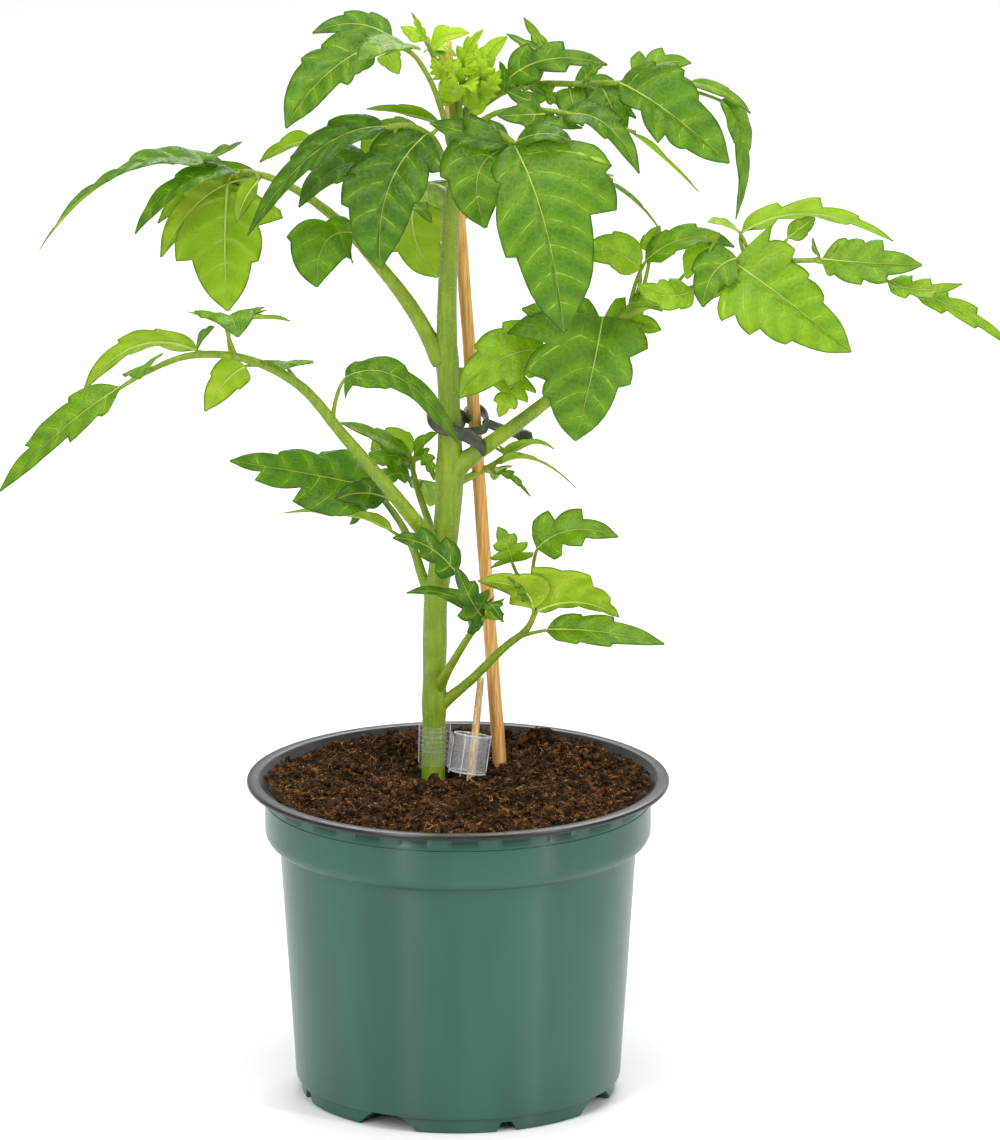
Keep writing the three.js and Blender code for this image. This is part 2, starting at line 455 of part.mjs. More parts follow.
        face: [-0.2, -0.85, 0.45], form: "ovate", width: 1.05 },
      { at: 0.33, base: [523, 374, 4], mid: [510, 394, 0], tip: [499, 417, -2],
        face: [-0.1, -0.95, 0.3], form: "fern", width: 1.45 },
    ],
  },
  {
    name: "leaf_back_mid",
    stalks: [
      [[452, 376, 18, 2], [490, 370, 32, 1.7], [540, 362, 50, 1.4], [585, 356, 66, 1.1]],
    ],
    leaflets: [
      { at: 1, base: [585, 356, 66], mid: [600, 362, 82], tip: [612, 388, 96],
        face: [0.3, 0.5, 0.8], form: "ovate", width: 1.1 },
      { at: 0.8, base: [556, 360, 60], mid: [560, 372, 76], tip: [572, 402, 86],
        face: [0.1, 0.6, 0.7], form: "ovate", width: 1 },
      { at: 0.78, base: [560, 352, 52], mid: [590, 345, 44], tip: [625, 356, 36],
        face: [0.3, -0.2, 0.9], form: "ovate", width: 0.9 },
      { at: 0.5, base: [515, 362, 48], mid: [505, 368, 64], tip: [500, 384, 76],
        face: [-0.2, 0.6, 0.7], form: "ovate", width: 0.9 },
    ],
  },
  {
    name: "shoot_right",
    stalks: [
      [[456, 482, 22, 1.3], [476, 474, 27, 1.1], [497, 462, 28, 0.8]],
    ],
    leaflets: [
      { at: 0.95, base: [503, 456, 27], mid: [530, 443, 24], tip: [554, 449, 22],
        face: [0, 0.5, 0.8], form: "slim", width: 1 },
      { at: 1, base: [502, 462, 26], mid: [536, 460, 22], tip: [575, 487, 18],
        face: [0.2, 0.3, 0.9], form: "fern", width: 0.6 },
      { at: 0.85, base: [496, 474, 27], mid: [510, 476, 24], tip: [530, 496, 22],
        face: [0.2, -0.3, 0.9], form: "fern", width: 0.7 },
      { at: 1, base: [506, 455, 32], mid: [512, 452, 38], tip: [520, 456, 44],
        face: [0, -0.3, 0.9], form: "fern", width: 1.3 },
      { at: 0.9, base: [496, 468, 32], mid: [496, 470, 40], tip: [494, 480, 46],
        face: [0, 0.2, 0.9], form: "fern", width: 1.2 },
    ],
  },
  {
    name: "shoot_left",
    stalks: [
      [[437, 610, 20, 1.9], [424, 580, 20, 1.7], [414, 550, 21, 1.4], [400, 522, 21, 1.2], [384, 500, 20, 1]],
    ],
    leaflets: [
      { at: 1, base: [380, 489, 19], mid: [308, 474, 13], tip: [230, 461, 9],
        face: [-0.05, -0.75, 0.65], form: "shoot_left", width: 1 },
      { at: 0.98, base: [386, 498, 14], mid: [362, 493, 10], tip: [336, 499, 8],
        face: [0, -0.9, 0.4], form: "plain", width: 1 },
      { at: 0.58, base: [392, 531, 18], mid: [346, 514, 14], tip: [284, 513, 10],
        face: [-0.1, 0.4, 0.9], form: "slim", width: 0.8 },
      { at: 0.95, base: [378, 500, 26], mid: [366, 510, 30], tip: [350, 524, 32],
        face: [0, -0.4, 0.9], form: "plain", width: 1.2 },
    ],
  },
  {
    name: "shoot_axil",
    stalks: [
      [[441, 560, 25, 1.5], [430, 525, 28, 1.3], [418, 490, 29, 1.1], [411, 462, 29, 0.8]],
    ],
    leaflets: [
      { at: 1, base: [410, 462, 28], mid: [388, 456, 23], tip: [362, 470, 18],
        face: [0, -0.55, 0.8], form: "fern", width: 1.2 },
      { at: 1, base: [411, 455, 31], mid: [394, 440, 35], tip: [371, 450, 37],
        face: [0, 0.7, 0.6], form: "plain", width: 1.4 },
      { at: 0.85, base: [410, 478, 26], mid: [394, 474, 20], tip: [376, 486, 15],
        face: [0, -0.7, 0.7], form: "fern", width: 1.2 },
      { at: 1, base: [404, 452, 27], mid: [374, 436, 22], tip: [341, 423, 17],
        face: [0.2, -0.4, 0.85], form: "slim", width: 0.9 },
      { at: 1, base: [414, 456, 27], mid: [424, 441, 25], tip: [437, 433, 24],
        face: [-0.5, -0.5, 0.6], form: "slim", width: 1.2 },
      { at: 0.9, base: [418, 452, 26], mid: [428, 462, 23], tip: [434, 480, 21],
        face: [0.2, -0.95, 0.2], form: "fern", width: 0.9 },
      { at: 0.7, base: [422, 480, 32], mid: [428, 492, 38], tip: [430, 506, 44],
        face: [0.2, 0.3, 0.9], form: "plain", width: 1.4 },
    ],
  },
  {
    name: "leaf_low_front",
    stalks: [
      [[438, 688, 17, 2.2], [452, 664, 9, 1.7], [470, 635, 3, 1.4], [484, 618, 0, 1.1]],
    ],
    leaflets: [
      { at: 1, base: [484, 618, 2], mid: [472, 602, -3], tip: [456, 567, -4],
        face: [0.2, -0.85, 0.4], form: "fern", width: 1.15 },
      { at: 1, base: [487, 617, 1], mid: [489, 604, -6], tip: [503, 622, -12],
        face: [0.2, -0.5, 0.8], form: "fern", width: 1.1 },
      { at: 0.97, base: [478, 613, 1], mid: [444, 594, 0], tip: [407, 593, -2],
        face: [-0.1, -0.35, 0.9], form: "slim", width: 0.8 },
      { at: 0.8, base: [457, 574, 5], mid: [428, 547, 1], tip: [393, 538, -1],
        face: [-0.1, -0.65, 0.75], form: "lobed", width: 0.95 },
    ],
  },
  {
    name: "leaf_low_right",
    stalks: [
      [[438, 707, 18, 2.3], [470, 681, 14, 2], [505, 647, 9, 1.7], [527, 629, 6, 1.4], [536, 611, 4, 1.1]],
    ],
    leaflets: [
      { at: 1, base: [537, 611, 3], mid: [578, 602, 6], tip: [619, 617, 7],
        face: [0, 0.85, 0.5], form: "pale_right", width: 1 },
      { at: 0.98, base: [533, 609, 2], mid: [519, 588, -1], tip: [478, 581, -4],
        face: [-0.1, 0.8, 0.5], form: "slim", width: 1.5 },
      { at: 0.76, base: [546, 630, 1], mid: [600, 632, -4], tip: [664, 644, -8],
        face: [0.1, -0.6, 0.8], form: "ovate", width: 0.6 },
      { at: 1, base: [512, 562, 6], mid: [508, 548, 2], tip: [498, 527, 0],
        face: [0, -0.9, 0.35], form: "fern", width: 1.6 },
      { at: 1, base: [537, 549, 6], mid: [572, 530, 2], tip: [618, 537, -2],
        face: [0.1, -0.8, 0.6], form: "lobed", width: 1 },
      { at: 0.95, base: [534, 598, 2], mid: [522, 584, -1], tip: [508, 577, -3],
        face: [0, -0.8, 0.5], form: "fern", width: 1.1 },
    ],
  },
];
const wasm = await Module();
wasm.setup();

/** A closed mesh from points and triangles. */
function meshOf(points, faces) {
  const geometry = new THREE.BufferGeometry();
  geometry.setAttribute("position", new THREE.Float32BufferAttribute(points.flatMap((p) => [p.x, p.y, p.z]), 3));
  geometry.setIndex(faces.flat());
  return geometry;
}

/** A closed geometry as a solid for joining and cutting. */
function solid(geometry) {
  const bare = geometry.clone();
  bare.deleteAttribute("normal");
  bare.deleteAttribute("uv");
  const merged = mergeVertices(bare, 1e-4);
  return new wasm.Manifold(new wasm.Mesh({
    numProp: 3,
    vertProperties: new Float32Array(merged.getAttribute("position").array),
    triVerts: new Uint32Array(merged.getIndex().array),
  }));
}

/** A solid as a geometry again. */
function geometryOf(body) {
  const mesh = body.getMesh();
  const geometry = new THREE.BufferGeometry();
  const points = new Float32Array(mesh.numVert * 3);
  for (let i = 0; i < mesh.numVert; i += 1) {
    for (let axis = 0; axis < 3; axis += 1) points[i * 3 + axis] = mesh.vertProperties[i * mesh.numProp + axis];
  }
  geometry.setAttribute("position", new THREE.BufferAttribute(points, 3));
  geometry.setIndex(new THREE.BufferAttribute(new Uint32Array(mesh.triVerts), 1));
  geometry.computeVertexNormals();
  return geometry;
}

/** The largest of the separate bodies of a solid. */
function largest(body) {
  const parts = body.decompose();
  return parts.reduce((best, part) => (part.volume() > best.volume() ? part : best), parts[0]);
}

/** A tapered tube along a smooth curve through places with radii. */
function tube(nodes, sides, steps, extra = 0) {
  const curve = new THREE.CatmullRomCurve3(nodes.map((n) => n.point), false, "centripetal");
  const radiusAt = (t) => {
    const scaled = t * (nodes.length - 1);
    const i = Math.min(Math.floor(scaled), nodes.length - 2);
    return THREE.MathUtils.lerp(nodes[i].r, nodes[i + 1].r, scaled - i) + extra;
  };
  const points = [];
  const side = new THREE.Vector3();
  let across = null;
  for (let i = 0; i <= steps; i += 1) {
    const t = i / steps;
    const along = curve.getTangent(t);
    across = across || side.crossVectors(along, new THREE.Vector3(0.02, 1, 0.05)).normalize().clone();
    across.addScaledVector(along, -across.dot(along)).normalize();
    const other = new THREE.Vector3().crossVectors(along, across);
    const centre = curve.getPoint(t);
    for (let j = 0; j < sides; j += 1) {
      const turn = (2 * Math.PI * j) / sides;
      points.push(centre.clone()
        .addScaledVector(across, radiusAt(t) * Math.cos(turn))
        .addScaledVector(other, radiusAt(t) * Math.sin(turn)));
    }
  }
  const faces = [];
  for (let i = 0; i < steps; i += 1) {
    for (let j = 0; j < sides; j += 1) {
      const a = i * sides + j;
      const b = i * sides + ((j + 1) % sides);
      faces.push([a, b, b + sides], [a, b + sides, a + sides]);
    }
  }
  for (let j = 1; j < sides - 1; j += 1) {
    faces.push([0, j + 1, j]);
    faces.push([steps * sides, steps * sides + j, steps * sides + j + 1]);
  }
  return solid(meshOf(points, faces));
}

const nodesOf = (places) => places.map((p) => ({ point: spot(p), r: p[3] }));

/** The outline of one side: [lean-free place on the midrib, distance out] from base to tip. */
function sideOf(allTeeth, lean, length) {
  const small = length < MEDIUM_LEAFLET;
  const kept = length < SMALL_LEAFLET ? 1 : small ? 2 : allTeeth.length;
  const teeth = allTeeth.slice(0, kept);
  const points = [];
  let from = [0, 0];
  let last = 0;
  const push = (along, out) => {
    const wide = Math.max(out, 0.25 / length);
    last = Math.max(last + 0.012, along - lean * wide);
    points.push([last, wide]);
  };
  const spans = [...teeth, [1, 0]];
  spans.forEach(([tipAlong, tipOut, notchAlong, notchOut], index) => {
    const isLast = index === spans.length - 1;
    const between = index === 0 ? 1 + Number(length > LARGE_LEAFLET) : Number(isLast && !small);
    const bulge = index === 0 ? 0.25 : 0.1;
    for (let j = 1; j <= between; j += 1) {
      const u = j / (between + 1);
      const rise = bulge * Math.sin(Math.PI * u);
      push(from[0] + (tipAlong - from[0]) * u - rise * (tipOut - from[1]),
        from[1] + (tipOut - from[1]) * u + rise * (tipAlong - from[0]));
    }
    push(tipAlong, tipOut);
    if (!isLast) {
      push(notchAlong, notchOut);
      from = [notchAlong, notchOut];
    }
  });
  return points;
}

/** One leaflet with its short stalk from a point: a thin toothed plate along its arched midrib, folded along it. */
function leaflet(spec, root) {
  const form = FORMS[spec.form];
  const lean = form.lean ?? 0.5;
  const [base, mid, tip] = [spec.base, spec.mid, spec.tip].map(spot);
  const bend = mid.clone().multiplyScalar(2).addScaledVector(base, -0.5).addScaledVector(tip, -0.5);
  const rib = new THREE.QuadraticBezierCurve3(base, bend, tip);
  const length = rib.getLength();
  const facing = new THREE.Vector3(...spec.face);
  const fold = THREE.MathUtils.degToRad(spec.fold ?? FOLD);
  const twist = THREE.MathUtils.degToRad(spec.twist ?? 0);

  const flat = length * spec.width < MEDIUM_LEAFLET;

  const frameAt = (share) => {
    const run = rib.getTangent(share);
    const normal = facing.clone().addScaledVector(run, -facing.dot(run)).normalize();
    normal.applyAxisAngle(run, twist * (share - 0.3));
    return { run, normal, side: new THREE.Vector3().crossVectors(run, normal) };
  };
  const place = (along, out, face) => {
    const at = THREE.MathUtils.clamp(along, 0, 1);
    const { run, normal, side } = frameAt(at);
    const reach = out * length * spec.width;
    return rib.getPoint(at)
      .addScaledVector(run, (along - at) * length)
      .addScaledVector(side, reach * Math.cos(fold))
      .addScaledVector(normal, Math.abs(reach) * Math.sin(fold) * Number(!flat) + (face * BLADE_T) / 2);
  };

  const points = [];
  const hands = flat ? [1, -1] : [1, 0, -1];
  const { run, side } = frameAt(0);
  const stalk = base.clone().sub(root).normalize();
  if (base.distanceTo(root) < 0.3) stalk.copy(run);
  const between = stalk.clone().add(run).normalize();
  const across = side.clone().addScaledVector(between, -side.dot(between)).normalize();
  const acrossRoot = across.clone().addScaledVector(stalk, -across.dot(stalk)).normalize();
  const bar = (centre, wide, along) => {
    const deep = new THREE.Vector3().crossVectors(wide, along);
    [1, -1].forEach((face) => hands.forEach((hand) => points.push(
      centre.clone().addScaledVector(wide, hand * STALKLET_R).addScaledVector(deep, face * STALKLET_R * 0.9),
    )));
  };
  bar(root.clone().addScaledVector(stalk, base.distanceTo(root) < 1 ? -1 : 0), acrossRoot, stalk);
  bar(base, across, between);

  const left = sideOf(form.left, lean, length * spec.width);
  const right = sideOf(form.right, lean, length * spec.width);
  left.forEach(([leftAt, leftOut], i) => {
    const [rightAt, rightOut] = right[i];
    [1, -1].forEach((face) => hands.forEach((hand) => points.push([
      place(leftAt + lean * leftOut, leftOut, face),
      place((leftAt + rightAt) / 2, 0, face),
      place(rightAt + lean * rightOut, -rightOut, face),
    ][1 - hand])));
  });

  const faces = [];
  const quad = (a, b, c, d) => faces.push([a, c, b], [a, d, c]);
  const wide = hands.length;
  const step = 2 * wide;
  const end = points.length - step;
  for (let a = 0; a < end; a += step) {
    const b = a + step;
    for (let j = 0; j < wide - 1; j += 1) {
      const mirrored = j === 1;
      const [c, d] = mirrored ? [a + j + 1, b + j] : [a + j, b + j + 1];
      faces.push([a + j, d, a + j + 1], [c, b + j, b + j + 1]);
      faces.push([a + j + wide, a + j + 1 + wide, d + wide], [c + wide, b + j + 1 + wide, b + j + wide]);
    }
    quad(a, b, b + wide, a + wide);
    quad(a + wide - 1, a + step - 1, b + step - 1, b + wide - 1);
  }
  for (let j = 0; j < wide - 1; j += 1) {
    quad(j, j + wide, j + wide + 1, j + 1);
    quad(end + j, end + j + 1, end + j + wide + 1, end + j + wide);
  }
  return solid(meshOf(points, faces));
}

/** The point at a share of a stalk's length. */
function onStalk(nodes, share) {
  return new THREE.CatmullRomCurve3(nodes.map((n) => n.point), false, "centripetal").getPointAt(share);
}

/** A whole leaf or young shoot: its stalks and its leaflets on their short stalks, grown as one. */
function leaf({ stalks, leaflets }) {
  const nodes = stalks.map(nodesOf);
  const parts = nodes.map((places) => tube(places, STALK_SIDES, places.length - 1));
  leaflets.forEach((spec) => parts.push(leaflet(spec, onStalk(nodes[spec.on ?? 0], spec.at))));
  return wasm.Manifold.union(parts).simplify(SMOOTHING);
}

// ---- pot ----

/** The pot's closed section, from the middle of the underside round to the middle of the floor. */
function potSection() {
  const lipLow = POT_TOP - LIP_H;
  const outline = [
    [0, 0], [PAD_R, 0], [PAD_R + 0.6, FLOOR_LOW], [FOOT_IN_R, FLOOR_LOW], [FOOT_IN_R + 1, 0],
    [FOOT_R, 0], [FOOT_R, FOOT_STEP], [WALL_LOW_R, FOOT_STEP + 1.4],
    [WALL_TOP_R, COLLAR_END - 0.5],
  ];
  const rounding = 2;
  for (let i = 0; i <= rounding; i += 1) {
    const turn = (Math.PI / 2) * (i / rounding);
    outline.push([
      WALL_TOP_R + 0.4 + (COLLAR_R - WALL_TOP_R - 0.4) * Math.sin(turn),
      COLLAR_LOW - (COLLAR_LOW - COLLAR_END) * Math.cos(turn),
    ]);
  }
  outline.push(
    [COLLAR_R, lipLow], [LIP_R, lipLow + 0.3], [LIP_R, POT_TOP - 0.5], [LIP_R - 0.6, POT_TOP], [LIP_IN_R, POT_TOP],
    [COLLAR_R - 2.2, lipLow - 1], [COLLAR_R - 2.2, COLLAR_LOW + 0.6], [WALL_TOP_R - WALL, COLLAR_END - 2],
    [WALL_LOW_R - WALL, FLOOR_TOP + 1.6], [WALL_LOW_R - WALL - 1.6, FLOOR_TOP], [0, FLOOR_TOP],
  );
  return outline.map(([r, z]) => new THREE.Vector2(r, z));
}

/** A round body from a section, standing along +Z. */
function turned(section, steps = POT_STEPS) {
  const geometry = new THREE.LatheGeometry(section, steps, Math.PI / steps);
  geometry.rotateX(Math.PI / 2);
  return solid(geometry);
}

/** A cutter at a turn round the axis, counted from the front towards +X. */
function roundTheFoot(geometry, degrees) {
  return solid(geometry.rotateZ(THREE.MathUtils.degToRad(degrees)));
}

function footGap({ turn, low, high, height }, index) {
  const outline = new THREE.Shape([
    new THREE.Vector2(-low / 2, -1), new THREE.Vector2(low / 2, -1), new THREE.Vector2(low / 2, 0),
    new THREE.Vector2(high / 2, height), new THREE.Vector2(-high / 2, height), new THREE.Vector2(-low / 2, 0),
  ]);
  const geometry = new THREE.ExtrudeGeometry(outline, { depth: 24, bevelEnabled: false });
  geometry.rotateX(Math.PI / 2);
  geometry.translate(0, -(FOOT_IN_R - 5), 0);
  return roundTheFoot(geometry, turn + 90 * index);
}

function pot() {
  const cuts = [];
  for (let i = 0; i < POCKETS; i += 1) {
    const pocket = new THREE.BoxGeometry(POCKET_W, 6, POT_TOP - LIP_H - POCKET_LOW);
    pocket.translate(0, -(COLLAR_R - POCKET_DEEP + 3), (POT_TOP - LIP_H + POCKET_LOW) / 2);
    cuts.push(roundTheFoot(pocket, POCKET_TURN + (360 / POCKETS) * i));
  }
  for (let i = 0; i < FOOT_GAPS; i += 1) cuts.push(footGap(SMALL_GAP, i), footGap(LARGE_GAP, i));
  return turned(potSection()).subtract(wasm.Manifold.union(cuts));
}

// ---- soil ----

/** Height of the rough soil over a point. */
function soilHeight(x, y) {
  const pace = (2 * Math.PI) / SOIL_WAVE;
  const waves = Math.sin(pace * (0.92 * x + 0.31 * y) + 1.1) + Math.sin(pace * (0.88 * y - 0.35 * x) + 0.4)
    + Math.sin(pace * (0.62 * x - 0.75 * y) + 2.2);
  const share = (h) => Math.exp(-((x - h.x) ** 2 + (y - h.y) ** 2) / h.across ** 2);
  const hollow = share(SOIL_HOLLOW);
  const heaps = SOIL_HEAPS.reduce((sum, h) => sum + h.high * share(h), SOIL_HOLLOW.high * hollow);
  return SOIL_Z + SOIL_LUMP * waves * (1 - hollow) + heaps;
}

function soil() {
  const low = FLOOR_TOP + GAP;
  const sideR = COLLAR_R - 2.2 - GAP - 0.3;
  const slope = (LIP_IN_R - COLLAR_R + 2.2) / (LIP_H + 1);
  const edgeLow = POT_TOP - LIP_H - 1;
  const rings = [
    ...[0, 6, 12, 18, 24, 30, 36, 42, 48, 54, 58.5].map((r) => [r, null]), [sideR, "edge"], [sideR, edgeLow - 0.3],
    [sideR, COLLAR_LOW + 0.6], [WALL_TOP_R - WALL - GAP - 0.3, COLLAR_END - 2],
    [WALL_LOW_R - WALL - GAP - 0.4, FLOOR_TOP + 1.8], [WALL_LOW_R - WALL - 2.4, low], [0, low],
  ];
  const steps = SOIL_STEPS;
  const points = [];
  rings.forEach(([r, z]) => {
    const count = r === 0 ? 1 : steps;
    for (let j = 0; j < count; j += 1) {
      const turn = (2 * Math.PI * j) / steps;
      const x = r * Math.cos(turn);
      const y = r * Math.sin(turn);
      if (z === "edge") {
        const high = THREE.MathUtils.clamp(soilHeight(x, y), ...SOIL_EDGE);
        const out = 1 + (slope * (high - edgeLow) - 0.1) / sideR;
        points.push(new THREE.Vector3(x * out, y * out, high));
      } else {
        points.push(new THREE.Vector3(x, y, z ?? Math.min(soilHeight(x, y), POT_TOP - 0.4)));
      }
    }
  });
  const faces = [];
  const first = (ring) => (ring === 0 ? 0 : 1 + (ring - 1) * steps);
  const end = points.length - 1;
  for (let j = 0; j < steps; j += 1) {
    const k = (j + 1) % steps;
    faces.push([0, first(1) + j, first(1) + k]);
    for (let ring = 1; ring < rings.length - 2; ring += 1) {
      const a = first(ring);
      const b = first(ring + 1);
      faces.push([a + j, b + j, b + k], [a + j, b + k, a + k]);
    }
    const lastRing = first(rings.length - 2);
    faces.push([end, lastRing + k, lastRing + j]);
  }
  return solid(meshOf(points, faces));
}

// ---- sticks and clips ----

const stickNodes = ({ top, foot, topR, footR }) => [
  { point: spot(foot), r: footR }, { point: spot(top), r: topR },
];

/** A round tube with a bore, between two points. */
function sleeve(from, to, outer, inner, sides) {
  const long = from.distanceTo(to);
  const reach = to.clone().sub(from).normalize();
  const outside = tube([{ point: from, r: outer }, { point: to, r: outer }], sides, 1);
  const bore = tube([
    { point: from.clone().addScaledVector(reach, -1), r: inner },
    { point: to.clone().addScaledVector(reach, 1), r: inner },
  ], sides, Math.max(1, Math.round(long / 40)));
  return { outside, bore };
}

/** The clear clip: a ribbed sleeve round the stem, a sleeve round the short stick and a web between them. */
function graftClip() {
  const stick = stickNodes(GRAFT_STICK);
  const run = stick[1].point.clone().sub(stick[0].point).normalize();
  const stickAt = (z) => stick[0].point.clone().addScaledVector(run, (z - stick[0].point.z) / run.z);
  const level = (down) => spot([STEM_SLEEVE.foot[0], down, stickAt(SOIL_Z + 8).y]).z;
  const foot = spot(STEM_SLEEVE.foot);
  const top = spot(STEM_SLEEVE.top);
  const stickFoot = stickAt(level(STICK_SLEEVE.foot));
  const stickTop = stickAt(level(STICK_SLEEVE.top));
  const onStem = sleeve(foot, top, STEM_SLEEVE.outer, STEM_SLEEVE.inner, 16);
  const onStick = sleeve(stickFoot, stickTop, STICK_SLEEVE.outer, STICK_SLEEVE.inner, 16);
  const middle = foot.clone().add(stickFoot).add(top).add(stickTop).multiplyScalar(0.25);
  const web = new THREE.BoxGeometry(5, 2.2, stickTop.z - foot.z - 1.5);
  web.translate(middle.x - 0.4, middle.y, (stickTop.z + foot.z) / 2);
  const ribs = [];
  for (let i = 0; i < CLIP_RIBS.count; i += 1) {
    const high = top.z - CLIP_RIBS.first - i * CLIP_RIBS.step;
    const share = (high - foot.z) / (top.z - foot.z);
    const from = foot.clone().lerp(top, share);
    ribs.push(sleeve(from, from.clone().setZ(high - CLIP_RIBS.tall), CLIP_RIBS.outer, STEM_SLEEVE.inner, 16).outside);
  }
  const body = wasm.Manifold.union([onStem.outside, onStick.outside, solid(web), ...ribs]);
  return largest(body.subtract(onStem.bore).subtract(onStick.bore));
}

/** The dark clip: a loop round the stem, a bridge and a loop round the stake. */
function stemClip() {
  const stemAt = spot([450, 430, 18]);
  const stake = stickNodes(STAKE);
  const run = stake[1].point.clone().sub(stake[0].point).normalize();
  const level = stemAt.z - 1;
  const stakeAt = stake[0].point.clone().addScaledVector(run, (level - stake[0].point.z) / run.z);
  const straight = new THREE.Vector3(0, 0, 1);
  const tall = 3.4;
  const ring = (centre, outer, inner, lift) => sleeve(
    centre.clone().addScaledVector(straight, lift - tall / 2),
    centre.clone().addScaledVector(straight, lift + tall / 2), outer, inner, 16,
  );
  const onStem = ring(stemAt, 6, 4.7, 0);
  const onStake = ring(stakeAt, 4.4, 2.9, 0);
  const bridge = new THREE.BoxGeometry(stakeAt.x - stemAt.x + 3, 1.6, tall);
  bridge.rotateZ(Math.atan2(stakeAt.y - stemAt.y, stakeAt.x - stemAt.x));
  bridge.translate((stemAt.x + stakeAt.x) / 2, (stemAt.y + stakeAt.y) / 2, level + 1);
  const bar = new THREE.BoxGeometry(13, 1.8, 3);
  bar.translate(stakeAt.x + 8.5, stakeAt.y, level + 0.4);
  const knob = new THREE.BoxGeometry(3.4, 3, 3.8);
  knob.translate(stakeAt.x + 15, stakeAt.y, level + 0.4);
  const body = wasm.Manifold.union([onStem.outside, onStake.outside, solid(bridge), solid(bar), solid(knob)]);
  return largest(body.subtract(onStem.bore).subtract(onStake.bore));
}

// ---- assembly ----

const plant = new THREE.Group();
plant.name = "tomato_plant";

function add(name, body, color, roughness, more = {}) {
  const material = new THREE.MeshStandardMaterial({ color, roughness, metalness: 0, ...more });
  const mesh = new THREE.Mesh(geometryOf(body), material);
  mesh.name = name;
  plant.add(mesh);
}

const stemNodes = nodesOf(STEM);
const stemBody = tube(stemNodes, STEM_SIDES, 17);
const stemRoom = tube(stemNodes, STEM_SIDES, 17, GAP + 0.1);
const stakeNodes = stickNodes(STAKE);
const stakeBody = tube(stakeNodes, 8, 2);
const stakeRoom = tube(stakeNodes, 8, 2, GAP + 0.1);
const stickBody = tube(stickNodes(GRAFT_STICK), 8, 1);
const stickRoom = tube(stickNodes(GRAFT_STICK), 8, 1, GAP + 0.1);

add("pot", pot(), 0x3f6f5f, 0.32);
add("soil", soil().subtract(stemRoom).subtract(stakeRoom).subtract(stickRoom), 0x2e1d12, 1);
add("main_stem", stemBody, 0x7fa02f, 0.6);
add("support_stake", stakeBody, 0xd9a25c, 0.7);
add("graft_stick", stickBody, 0xc98f4f, 0.7);
add("graft_clip", graftClip(), 0xe6eeee, 0.15, { transparent: true, opacity: 0.45 });
add("stem_clip", stemClip(), 0x3c4238, 0.5);
LEAVES.forEach((spec) => {
  const body = leaf(spec).subtract(stemRoom).subtract(stakeRoom).simplify(SMOOTHING);
  add(spec.name, largest(body), spec.color ?? 0x5d8a2c, 0.6, { side: THREE.DoubleSide });
});

export default plant;
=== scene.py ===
"""Tomato plant in a round grow pot: the visual model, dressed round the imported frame.

Sizes are in millimetres in the row frame (+Z up, -Y towards the front) and become metres when a mesh is made.
Places on the plant are read in the front view that the part's source uses: view units to the right and
down from the view's corner, and millimetres away from the viewer behind the pot's axis.
"""

import logging
import math
from dataclasses import dataclass, field
from enum import Enum
from typing import Callable, Sequence

import bpy
import numpy as np
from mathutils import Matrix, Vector, noise


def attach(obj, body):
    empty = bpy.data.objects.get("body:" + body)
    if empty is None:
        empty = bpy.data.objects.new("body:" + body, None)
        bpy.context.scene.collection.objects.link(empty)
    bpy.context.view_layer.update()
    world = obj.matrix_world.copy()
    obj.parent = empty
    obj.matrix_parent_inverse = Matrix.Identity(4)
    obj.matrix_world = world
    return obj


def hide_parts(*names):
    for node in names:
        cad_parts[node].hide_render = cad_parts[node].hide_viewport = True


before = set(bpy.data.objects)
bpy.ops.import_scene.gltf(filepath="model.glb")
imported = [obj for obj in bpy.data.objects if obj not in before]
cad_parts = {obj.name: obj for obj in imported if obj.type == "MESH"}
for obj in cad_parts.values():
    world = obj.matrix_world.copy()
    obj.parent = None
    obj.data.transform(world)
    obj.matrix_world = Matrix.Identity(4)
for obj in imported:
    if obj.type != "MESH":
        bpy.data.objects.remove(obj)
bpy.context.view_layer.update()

MM = 0.001
BODY = "root"
LOG = logging.getLogger("tomato_plant")
Array = np.ndarray
Place = tuple[float, ...]
Colour = tuple[float, float, float]


class Slot(Enum):
    """Material slots of the part's record."""

    POT = "pot_plastic"
    SOIL = "soil"
    STEM = "stem"
    LEAF = "leaf"
    WOOD = "stake_wood"
    CLEAR = "clear_clip"
    DARK = "dark_clip"


@dataclass(frozen=True)
class FrontView:
    """The slightly raised front view in which the places of the plant are given."""

    scale: float = 3.034
    distance: float = 3500.0
    rise: float = math.radians(14.8)
    aim: tuple[float, float, float] = (13.9, 0.0, 178.2)
    centre: tuple[float, float] = (500.0, 570.0)
    size: tuple[float, float] = (1000.0, 1140.0)

    @property
    def forward(self) -> Array:
        """Direction in which the viewer looks."""
        return np.array([0.0, math.cos(self.rise), -math.sin(self.rise)])

    @property
    def eye(self) -> Array:
        """Where the viewer stands."""
        return np.array(self.aim) - self.forward * self.distance

    def spot(self, place: Place) -> Array:
        """Point in millimetres that a place in the view stands for.

        Args:
            place: View units across and down, and millimetres away; anything after those is left out.

        Returns:
            The point in the row frame.
        """
        upward = np.array([0.0, math.sin(self.rise), math.cos(self.rise)])
        ray = self.forward * self.scale * self.distance + upward * (self.centre[1] - place[1])
        ray[0] += place[0] - self.centre[0]
        return self.eye + ray * (place[2] - self.eye[1]) / ray[1]


VIEW = FrontView()


@dataclass(frozen=True)
class LeafletForm:
    """Outline of a leaflet.

    Each side lists its teeth as (along, out, along, out): the tooth's tip and the notch after it, as
    fractions of the midrib's length. lean is how far forward the side veins run.
    """

    left: tuple[Place, ...]
    right: tuple[Place, ...]
    lean: float = 0.5


